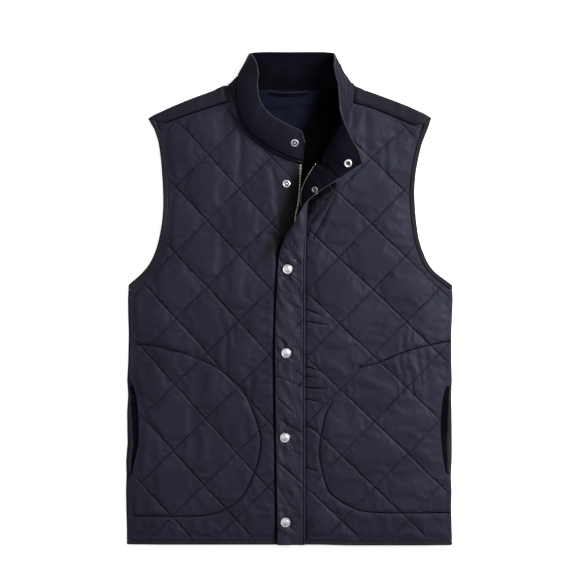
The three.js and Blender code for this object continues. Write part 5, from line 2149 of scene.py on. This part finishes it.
# Soft ridges of the lining, and one crease whose depth is positive.
LINING_FOLDS = [
    Fold(-60, 300, 60, 304, -2.4, 7), Fold(-64, 278, 30, 270, -2.0, 8), Fold(0, 288, 70, 282, -1.6, 6),
    Fold(-40, 254, 20, 246, -2.2, 8), Fold(-10, 232, 40, 228, -1.4, 7), Fold(-44, 293, 4, 292, 1.8, 2.4),
]


class Lining:
    """The smooth back lining that the open neck shows."""

    def build(self, finishes: Finishes) -> None:
        """Makes the lining with its soft sideways folds.

        Args:
            finishes: The finishes.
        """
        neck = Curve(PATTERN.back_neck).run(16)
        neck = neck[(neck[:, 0] > -80) & (neck[:, 0] < 84)]
        neck[:, 1] += -1.5 + 3.4 * smooth((84 - np.abs(neck[:, 0] - 2)) / 8)
        loop = np.vstack([
            neck,
            [[98, 290], [92, 240], [64, 180], [34, 96], [-20, 96], [-46, 190], [-84, 240], [-94, 290]],
        ])[::-1]
        loop = dense(closed(loop), 3.0)[:-1]
        base = PATTERN.layer_z

        def top(p: np.ndarray) -> np.ndarray:
            """Outer face with its folds, flat under the fronts."""
            open_part = 1.0
            for edge in (PATTERN.right_neck, PATTERN.left_neck):
                open_part = open_part * smooth((line_distance(p, Curve(edge).run(14)) - 4) / 12)
            high = 1.2 + 0.5 * SoftNoise(61, 20).at(0.4 * p[:, 0], p[:, 1])
            for fold in LINING_FOLDS:
                high = high - fold.dip(p)
            shown = smooth((p[:, 1] - 200) / 20)
            return base + PATTERN.lining_thick + high * open_part * shown

        spots = grid(np.arange(-96, 100, 2.2), np.arange(94, 330, 2.2))
        form = Form()
        cloth_wall(form, loop, spots, top, lambda p: np.full(len(p), base), reach=0.8)
        cloth = dress(form.piece("lining_cloth"), finishes.lining, Slot.LINING, "back_lining")


@dataclass
class Pocket:
    """One pocket bag between front and back, whose facing shows in the pocket's mouth."""

    side: Side
    bag: tuple = (
        (226, -74), (188, -80), (143, -97), (106, -112), (75, -144), (56, -182), (47, -225), (51, -268),
        (72, -312), (103, -329), (150, -336), (226, -337),
    )

    @staticmethod
    def lip(y: np.ndarray) -> np.ndarray:
        """Where the folded lip of the facing begins, out from the middle; nearer the middle it is painted in
        shadow.
        """
        return np.interp(y, (-284, -262, -225, -190, -158, -124), (247, 244, 243, 244.5, 247, 249))

    def build(self, finishes: Finishes) -> None:
        """Makes the bag.

        Args:
            finishes: The finishes.
        """
        outer = PATTERN.side_x + 1.6
        loop = np.vstack([
            Curve(self.bag).run(30),
            [[229, PATTERN.mouth_bottom + 16], [outer, PATTERN.mouth_bottom + 12],
             [outer, PATTERN.mouth_top - 12], [229, PATTERN.mouth_top - 16]],
        ])
        if self.side is Side.RIGHT:
            loop = mirrored(loop)[::-1]
        loop = dense(closed(loop), 3.0)[:-1]
        base = PATTERN.layer_z

        def top(p: np.ndarray) -> np.ndarray:
            """Outer face, which rises in small waves in the mouth."""
            half = np.abs(p[:, 0])
            shown = smooth((half - 228) / 6) * smooth((251 - half) / 4)
            wave = 0.3 + 0.6 * SoftNoise(71 + self.side.value, 10).at(0.3 * p[:, 0], p[:, 1])
            lip = 1.6 * smooth((half - self.lip(p[:, 1]) + 1) / 2.5)
            return base + PATTERN.lining_thick + (wave + lip) * shown

        spots = grid(np.arange(222, 252, 1.3) * self.side.value, np.arange(-280, -130, 2.0))
        form = Form()
        # Nearer the middle than the lip, under the front's edge, the near-black facing is painted shadow.
        cloth_wall(
            form, loop, spots, top, lambda p: np.full(len(p), base), reach=0.8,
            finish=lambda places: np.abs(places[:, 0]) < self.lip(places[:, 1]),
        )
        name = self.side.word
        finish = [finishes.trim, finishes.facing]
        cloth = dress(form.piece(f"pocket_bag_{name}"), finish, Slot.TRIM, f"pocket_{name}")


@dataclass
class Bindings:
    """The charcoal tape folded round the armholes and the hem, with its row of stitches."""

    proud: float = 1.1
    stitch_in: float = 1.3
    stitch: tuple[float, float] = (2.8, 2.1)

    def armhole(self, finishes: Finishes, side: Side) -> None:
        """Makes one armhole's binding, over the front and round the back.

        Args:
            finishes: The finishes.
            side: Which armhole.
        """
        form, thread = Form(), Form()
        width, edge = PATTERN.arm_binding, Curve(PATTERN.arm_table).run(90)
        top_y = PATTERN.binding_top + 0.4

        def cut(line: np.ndarray) -> np.ndarray:
            """The stretch of a line between the binding's two ends."""
            kept = line[(line[:, 1] < top_y) & (line[:, 1] > 11.8) & (line[:, 0] < 251.7)]
            lean = (kept[0, 0] - kept[1, 0]) / (kept[0, 1] - kept[1, 1])
            return np.vstack([[kept[0, 0] + lean * (top_y - kept[0, 1]), top_y], kept])

        loop = np.vstack([cut(edge), [[251.6, 11.8]], cut(shifted(edge, -width - 0.3))[::-1]])
        spots, row = cut(shifted(edge, -width / 2)), cut(shifted(edge, self.stitch_in - width))
        if side is Side.RIGHT:
            loop, spots, row = mirrored(loop), mirrored(spots), mirrored(row)
        loop = counter_clockwise(dense(closed(loop), 2.6)[:-1])
        spots = dense(spots, 2.6)
        wave, gathers = SoftNoise(81 + side.value, 12), SoftNoise(84 + side.value, 4)

        def top(p: np.ndarray) -> np.ndarray:
            """Outer face of the front's half, a little gathered."""
            rise = 0.25 * wave.at(p[:, 0], p[:, 1]) + 0.22 * gathers.at(0.3 * p[:, 0], p[:, 1])
            return PATTERN.inner(p) + PATTERN.front_wall + self.proud + rise

        cloth_wall(form, loop, spots, top, lambda p: PATTERN.inner(p) - 0.5, 2.4, 5.0)
        cloth_wall(
            form, loop, spots,
            lambda p: np.full(len(p), PATTERN.back_thick), lambda p: np.zeros(len(p)), 1.3, 5.0,
        )
        name = side.word
        dress(form.piece(f"armhole_tape_{name}"), finishes.trim, Slot.TRIM, f"armhole_binding_{name}")
        row = dense(row, 2.0)
        stitches(thread, np.column_stack([row, top(row) - 0.15]), UP, *self.stitch, 0.5)
        dress(thread.piece(f"armhole_stitching_{name}"), finishes.thread, Slot.TRIM)

    def hem(self, finishes: Finishes) -> None:
        """Makes the hem's three bindings.

        Args:
            finishes: The finishes.
        """
        height = PATTERN.hem_binding
        middle_y = PATTERN.hem_y + height / 2
        rows = (
            ("front_right", -PATTERN.side_x, PATTERN.right_edge_x, True),
            ("front_left", PATTERN.placket_x - PATTERN.placket_lap, PATTERN.side_x, True),
            ("back", -PATTERN.half_width, PATTERN.half_width, False),
        )
        for name, x0, x1, over in rows:
            x = np.linspace(x0 + 0.2, x1 - 0.2, max(2, int((x1 - x0) / 3)))
            plan = np.column_stack([x, np.full(len(x), middle_y)])
            form, thread = Form(), Form()
            row_y = np.full(len(x), middle_y + height / 2 - 1.1)
            if over:
                wave = 0.25 * SoftNoise(91, 11).at(x, x * 0)
                z = PATTERN.inner(plan) + (PATTERN.front_wall + 0.9) / 2 + wave
                sweep(form, np.column_stack([plan, z]), oval(height + 0.4, 2.35, 16, 0.55))
                stitches(thread, np.column_stack([x, row_y, z + 1.0]), UP, *self.stitch, 0.5)
            else:
                z = np.full(len(x), PATTERN.back_thick / 2)
                sweep(form, np.column_stack([plan, z]), oval(height + 0.3, PATTERN.back_thick, 14, 0.5))
                stitches(thread, np.column_stack([x, row_y, x * 0 + 0.6]), DOWN, *self.stitch, 0.4)
            dress(form.piece(f"hem_tape_{name}"), finishes.trim, Slot.TRIM, f"hem_binding_{name}")
            dress(thread.piece(f"hem_stitching_{name}"), finishes.thread, Slot.TRIM)

    def build(self, finishes: Finishes) -> None:
        """Makes every binding.

        Args:
            finishes: The finishes.
        """
        for side in Side:
            self.armhole(finishes, side)
        self.hem(finishes)


# Sections of the zip's small parts, as rising (radius, height) rows.
TOP_STOP = [(0, -0.8), (1.3, -0.8), (1.6, 0), (1.3, 0.8), (0, 0.8)]
SLIDER_POST = [(0, 1.0), (1.0, 1.0), (0.8, 1.6), (1.0, 2.3), (0, 2.3)]

# A tooth's rings, as shares of its length, half width and half thickness.
TOOTH_RINGS = ((-0.5, 0.5, 0.42), (0.0, 0.5, 0.5), (0.34, 0.32, 0.4), (0.5, 0.42, 0.3))

# The slider's outline, where it stands, and the low and high faces of its two plates.
SLIDER_OUTLINE = np.array([
    (-4.2, -6.6), (4.2, -6.6), (4.7, -2), (4.8, 2), (3.3, 6.6), (1.6, 6.4), (0, 4.8), (-1.6, 6.4),
    (-3.3, 6.6), (-4.8, 2), (-4.7, -2),
])
SLIDER_SPOT = np.array([8.5, 103, 10.7])
SLIDER_PLATES = ((0.05, 1.1), (2.2, 3.3))


@dataclass
class Zip:
    """The front zip: two tapes, the left one under the placket, with teeth, top stops and the slider."""

    placket: Placket
    pitch: float = 2.5
    tooth: tuple[float, float, float] = (2.6, 1.5, 1.3)

    def tooth_row(self, form: Form, path: np.ndarray, up: np.ndarray, out: float) -> None:
        """Adds teeth along a tape's edge.

        Args:
            form: Where they are added.
            path: The tape's toothed edge.
            up: The tape's outward direction, one row a point.
            out: Which side of the path the teeth point to.
        """
        reach = reaches(path)
        spots = np.arange(1.0, reach[-1] - 1.0, self.pitch)
        place = read_off(spots, reach, path)
        stand = unit(read_off(spots, reach, up))
        run = unit(read_off(spots, reach, np.gradient(path, axis=0)))
        over = np.cross(run, stand) * out
        long, wide, thick = self.tooth
        rings = []
        for share, half_wide, half_thick in TOOTH_RINGS:
            middle = place + over * long * share
            for a, b in ((-1, -1), (1, -1), (1, 1), (-1, 1)):
                rings.append(middle + run * a * half_wide * wide + stand * b * half_thick * thick)
        points = np.stack(rings, axis=1).reshape(-1, 3)
        shape = [[3, 2, 1, 0], [12, 13, 14, 15], *ring_sides(len(TOOTH_RINGS), 4)]
        faces = np.array(shape)[None] + 16 * np.arange(len(spots))[:, None, None]
        faces = faces.reshape(-1, 4)
        form.add(points, faces if out > 0 else faces[:, ::-1])

    def build(self, finishes: Finishes) -> None:
        """Makes both tapes with their teeth, and the slider.

        Args:
            finishes: The finishes.
        """
        edge = Curve(PATTERN.right_edge).run(24)
        middle = dense(shifted(edge, -(PATTERN.seam_gap + 1.45)), 3.0)
        flat = PATTERN.inner(middle) + PATTERN.front_wall / 2
        path = np.column_stack([middle, flat])
        tape = Form()
        sweep(tape, path, oval(3.1, PATTERN.tape_thick, 10, 0.4))
        dress(tape.piece("zip_tape_right_cloth"), finishes.tape, Slot.TAPE, "zip_tape_right")
        teeth = Form()
        row = np.column_stack([shifted(middle, -1.2), flat + 0.25])
        self.tooth_row(teeth, row, np.broadcast_to(UP, path.shape), 1)
        turned(teeth, TOP_STOP, row[-1] + np.array([0.6, 1.6, 0.2]), UP, 12)
        dress(teeth.piece("zip_teeth_right"), finishes.brass, Slot.ZIP_METAL)

        sheet = self.placket.sheet
        away = PATTERN.placket_thick / 2 + 2 * PATTERN.seam_gap + PATTERN.tape_thick / 2

        plain = Sheet(self.placket.at, 1.0, sheet.along, sheet.across, None, sheet.turn)

        def tape_at(s: np.ndarray, v: np.ndarray) -> np.ndarray:
            """Points of the left tape, under the placket."""
            return plain.on(0.005 + 0.985 * s, 0.11 + 0.25 * v, -away)

        form = Form()
        cloth = Sheet(tape_at, PATTERN.tape_thick, np.linspace(0, 1, 160), eased(5, 0.08), None, sheet.turn)
        cloth.build(form)
        dress(form.piece("zip_tape_left_cloth"), finishes.tape, Slot.TAPE, "zip_tape_left")
        teeth = Form()
        s = np.linspace(0.02, 0.985, 400)
        across = np.full(len(s), 0.97)
        path = cloth.on(s, across, 0.0)
        self.tooth_row(teeth, path, cloth.normal(s, across), -1)
        facing = cloth.normal(s[-1:], across[-1:])[0]
        turned(teeth, TOP_STOP, path[-1] + np.array([0.5, 0.8, 0]), facing, 12)
        dress(teeth.piece("zip_teeth_left"), finishes.brass, Slot.ZIP_METAL)
        self.slider(finishes)

    def slider(self, finishes: Finishes) -> None:
        """Makes the slider with its bridge.

        Args:
            finishes: The finishes.
        """
        form, count, bevel = Form(), len(SLIDER_OUTLINE), 0.25
        for low, high in SLIDER_PLATES:
            rings = []
            for share, z in ((0.93, low), (1.0, low + bevel), (1.0, high - bevel), (0.93, high)):
                plan = SLIDER_OUTLINE * share + SLIDER_SPOT[:2]
                rings.append(np.column_stack([plan, np.full(count, SLIDER_SPOT[2] + z)]))
            ends = [list(range(count - 1, -1, -1)), list(range(3 * count, 4 * count))]
            form.add(np.vstack(rings), ends + ring_sides(4, count))
        turned(form, SLIDER_POST, SLIDER_SPOT + np.array([0, 5.0, 0]), UP, 12)
        dress(form.piece("zip_slider_body"), finishes.brass, Slot.ZIP_METAL, "zip_slider")


# Sections of the snap parts, as rising (radius, height) rows. A third value marks the recess, painted in
# shade.
SNAP_CAP = [
    (0, 0), (6.9, 0), (7.3, 0.25), (7.5, 0.65), (7.3, 1.05), (6.7, 1.28), (6.15, 1.22), (5.8, 1.0),
    (5.3, 1.05), (4.4, 1.5), (3.2, 1.85), (1.7, 2.08), (0, 2.14),
]
SNAP_HIDDEN = [(0, 0), (5.7, 0), (5.9, 0.25), (5.7, 0.5), (2.2, 0.5), (1.9, 0.88), (0, 0.9)]
SNAP_STUD = [
    (0, 0), (5.6, 0), (5.95, 0.35), (5.8, 0.9), (5.1, 1.25), (4.2, 1.3), (3.6, 1.2), (3.2, 0.8, 1),
    (3.1, 0.35, 1), (1.9, 0.35, 1), (1.8, 1.0, 1), (1.75, 2.1), (1.6, 2.55), (1.0, 2.76), (0, 2.8),
]
SNAP_SOCKET = [
    (0, 0), (6.1, 0), (6.4, 0.4), (6.3, 1.0), (5.7, 1.6), (4.9, 1.9), (4.1, 1.9), (3.5, 1.7),
    (3.2, 1.3, 1), (3.0, 0.5, 1), (0, 0.45, 1),
]


@dataclass
class Snaps:
    """The snap fasteners: caps on the placket, studs and sockets at the open neck."""

    placket: Placket
    collar: Collar
    small: float = 0.8
    sunk: float = 0.35
    top_stud: tuple[float, float] = (-3.6, 177.2)

    def one(
        self, finish: list[bpy.types.Material], node: str, profile: list, foot: np.ndarray, up: np.ndarray
    ) -> None:
        """Makes one snap part.

        Args:
            finish: Its metal, and the painted shade of its recess.
            node: The solid that it stands for.
            profile: Its section.
            foot: Where it stands.
            up: The way that it faces.
        """
        form = Form()
        turned(form, profile, foot, up, 48)
        dress(form.piece(f"{node}_metal", 40), finish, Slot.SNAP_METAL, node)

    def standing(self, node: str) -> np.ndarray:
        """The middle of a solid's box."""
        low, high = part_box(node)
        return (np.array(low) + np.array(high)) / 2 / MM

    def axis(
        self, sheet: Sheet, node: str, s0: float, s1: float, side: float
    ) -> tuple[np.ndarray, np.ndarray]:
        """Where a snap stands on a sheet, and the way that it faces.

        Args:
            sheet: The sheet.
            node: The solid that marks the place.
            s0: Start of the stretch in which to look.
            s1: Its end.
            side: 1 for the sheet's outer face and -1 for its inner one.

        Returns:
            The foot and the direction.
        """
        s, v = (g.ravel() for g in np.meshgrid(np.linspace(s0, s1, 161), np.linspace(0.1, 0.9, 41)))
        spot = self.standing(node)
        points = sheet.at(s, v)
        k = int(np.argmin(np.linalg.norm(points - spot, axis=1)))
        facing = sheet.normal(s[k:k + 1], v[k:k + 1])[0] * side
        foot = spot - facing * ((spot - points[k]) @ facing)
        return foot + facing * (sheet.thickness / 2 + 0.15), facing

    def build(self, finishes: Finishes) -> None:
        """Makes every snap part.

        Args:
            finishes: The finishes.
        """
        bright = [finishes.nickel, finishes.recess]
        # The socket on the turned-back placket takes the darker nickel as painted shade.
        painted_shade = [finishes.nickel_in_painted_shade, finishes.recess]
        for number, (x, y) in enumerate(CLOSED_SNAPS, 1):
            z = PATTERN.placket_z + PATTERN.placket_thick / 2 - self.sunk
            self.one(bright, f"snap_cap_{number}", SNAP_CAP, np.array([x, y, z]), UP)
            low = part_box(f"snap_stud_{number}")[0].z / MM
            self.one(bright, f"snap_stud_{number}", SNAP_HIDDEN, np.array([x, y, low]), UP)
        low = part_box("snap_stud_top")[0].z / MM
        self.one(bright, "snap_stud_top", SNAP_STUD, np.array([*self.top_stud, low]), UP)
        collar, placket = self.collar.sheet, self.placket.sheet
        small = [(self.small * row[0], *row[1:]) for row in SNAP_SOCKET]
        rows = (
            ("snap_stud_collar", SNAP_STUD, collar, 0.0, 0.3, bright),
            ("snap_socket_collar", SNAP_SOCKET, collar, 0.85, 1.0, bright),
            ("snap_cap_collar", SNAP_CAP, collar, 0.85, 1.0, bright),
            ("snap_socket_top", small, placket, 0.7, 1.0, painted_shade),
            ("snap_cap_top", SNAP_CAP, placket, 0.7, 1.0, bright),
        )
        for node, profile, sheet, s0, s1, finish in rows:
            foot, facing = self.axis(sheet, node, s0, s1, 1.0)
            if (self.standing(node) - foot) @ facing < 0:
                foot, facing = self.axis(sheet, node, s0, s1, -1.0)
            self.one(finish, node, profile, foot, facing)


@dataclass
class Loop:
    """The ribbon loop under the back of the collar."""

    rows: tuple = ((-32, 318.4, 5.4), (-22, 317, 6.6), (0, 315.8, 8), (20, 316.8, 6.8), (29, 318.2, 5.4))
    wide: float = 6.0

    def build(self, finishes: Finishes) -> None:
        """Makes the loop.

        Args:
            finishes: The finishes.
        """
        form = Form()
        path = Curve(self.rows).run(40)
        sweep(form, path, oval(self.wide, 1.0, 14, 0.4))
        # The thin lighter top edge is a painted highlight where the loop catches the light.
        sweep(form, path + np.array([0, self.wide / 2 - 0.3, 0.2]), oval(0.9, 0.9, 8, 0.8), None, 1)
        dress(form.piece("hanging_loop"), [finishes.facing, finishes.edge], Slot.TRIM, "locker_loop")


@dataclass
class Studio:
    """The floor, lights and camera."""

    camera_x: float = 2.0
    camera_y: float = 12.4
    frame_wide: float = 899.0
    lens: float = 100.0
    sensor: float = 36.0
    garment_z: float = 12.0
    floor_half: float = 4.0
    floor_z: float = -1e-4
    daylight: float = 0.4

    def build(self) -> None:
        """Makes the floor, the lights and the camera."""
        mesh = bpy.data.meshes.new("floor")
        half, z = self.floor_half, self.floor_z
        corners = [(x * half, y * half, z) for x, y in ((-1, -1), (1, -1), (1, 1), (-1, 1))]
        mesh.from_pydata(corners, [], [(0, 1, 2, 3)])
        floor = bpy.data.objects.new("floor", mesh)
        bpy.context.scene.collection.objects.link(floor)
        mesh.materials.append(Table().material())
        self.lamp("key", (1.32, 0.66, 1.02), 63.0, 0.7)
        self.lamp("fill", (-0.9, 0.2, 2.1), 8.0, 1.6)
        world = bpy.data.worlds.new("studio")
        world.use_nodes = True
        sky = world.node_tree.nodes["Background"].inputs
        sky["Color"].default_value = (1, 1, 1, 1)
        sky["Strength"].default_value = self.daylight
        bpy.context.scene.world = world
        camera = bpy.data.cameras.new("camera")
        camera.lens, camera.sensor_width = self.lens, self.sensor
        camera.sensor_fit = "HORIZONTAL"
        camera.clip_end = 20.0
        stand = bpy.data.objects.new("camera", camera)
        high = self.garment_z + self.frame_wide * self.lens / self.sensor
        stand.location = (self.camera_x * MM, self.camera_y * MM, high * MM)
        bpy.context.scene.collection.objects.link(stand)
        bpy.context.scene.camera = stand
        bpy.context.scene.view_settings.view_transform = "Standard"

    def lamp(self, name: str, place: tuple[float, float, float], power: float, size: float) -> None:
        """Makes a soft square lamp that looks at the vest.

        Args:
            name: Its name.
            place: Where it hangs, in metres.
            power: Its strength in watts.
            size: Its side in metres.
        """
        light = bpy.data.lights.new(name, "AREA")
        light.energy, light.size = power, size
        lamp = bpy.data.objects.new(name, light)
        lamp.location = place
        lamp.rotation_euler = (Vector((0, 0, 0)) - Vector(place)).to_track_quat("-Z", "Y").to_euler()
        bpy.context.scene.collection.objects.link(lamp)


# The curved pocket seams, from the side edge in and back to it.
POCKET_RIGHT = [
    (-242, -72), (-206, -75), (-190, -80), (-168, -85), (-143, -94), (-113, -108), (-84, -130), (-69, -147),
    (-59, -168), (-49, -196), (-44, -220), (-48, -255), (-60, -286), (-69, -304), (-83, -319),
    (-104, -331), (-133, -338), (-190, -339), (-240, -339),
]
POCKET_LEFT = [
    (249, -67), (209, -75), (173, -86), (137, -101), (106, -110), (75, -147), (66, -163), (57, -182),
    (52, -204), (48, -228), (48, -250), (54, -278), (62, -299), (79, -315), (104, -328), (122, -332),
    (249, -334),
]


def main() -> None:
    """Builds the vest piece by piece and then the studio round it."""
    logging.basicConfig(level=logging.INFO, format="%(message)s")
    finishes = Finishes()
    fronts = {Side.RIGHT: Front(Side.RIGHT, POCKET_RIGHT), Side.LEFT: Front(Side.LEFT, POCKET_LEFT)}
    placket = Placket()
    collar = Collar(fronts)
    makers = [
        ("back", Back()), ("lining", Lining()), ("right pocket", Pocket(Side.RIGHT)),
        ("left pocket", Pocket(Side.LEFT)), ("right front", fronts[Side.RIGHT]),
        ("left front", fronts[Side.LEFT]), ("placket", placket), ("collar", collar),
        ("bindings", Bindings()), ("zip", Zip(placket)), ("snaps", Snaps(placket, collar)),
        ("hanging loop", Loop()),
    ]
    for name, maker in makers:
        maker.build(finishes)
        log.info("built %s", name)
    Studio().build()


if __name__ == "__main__":
    main()
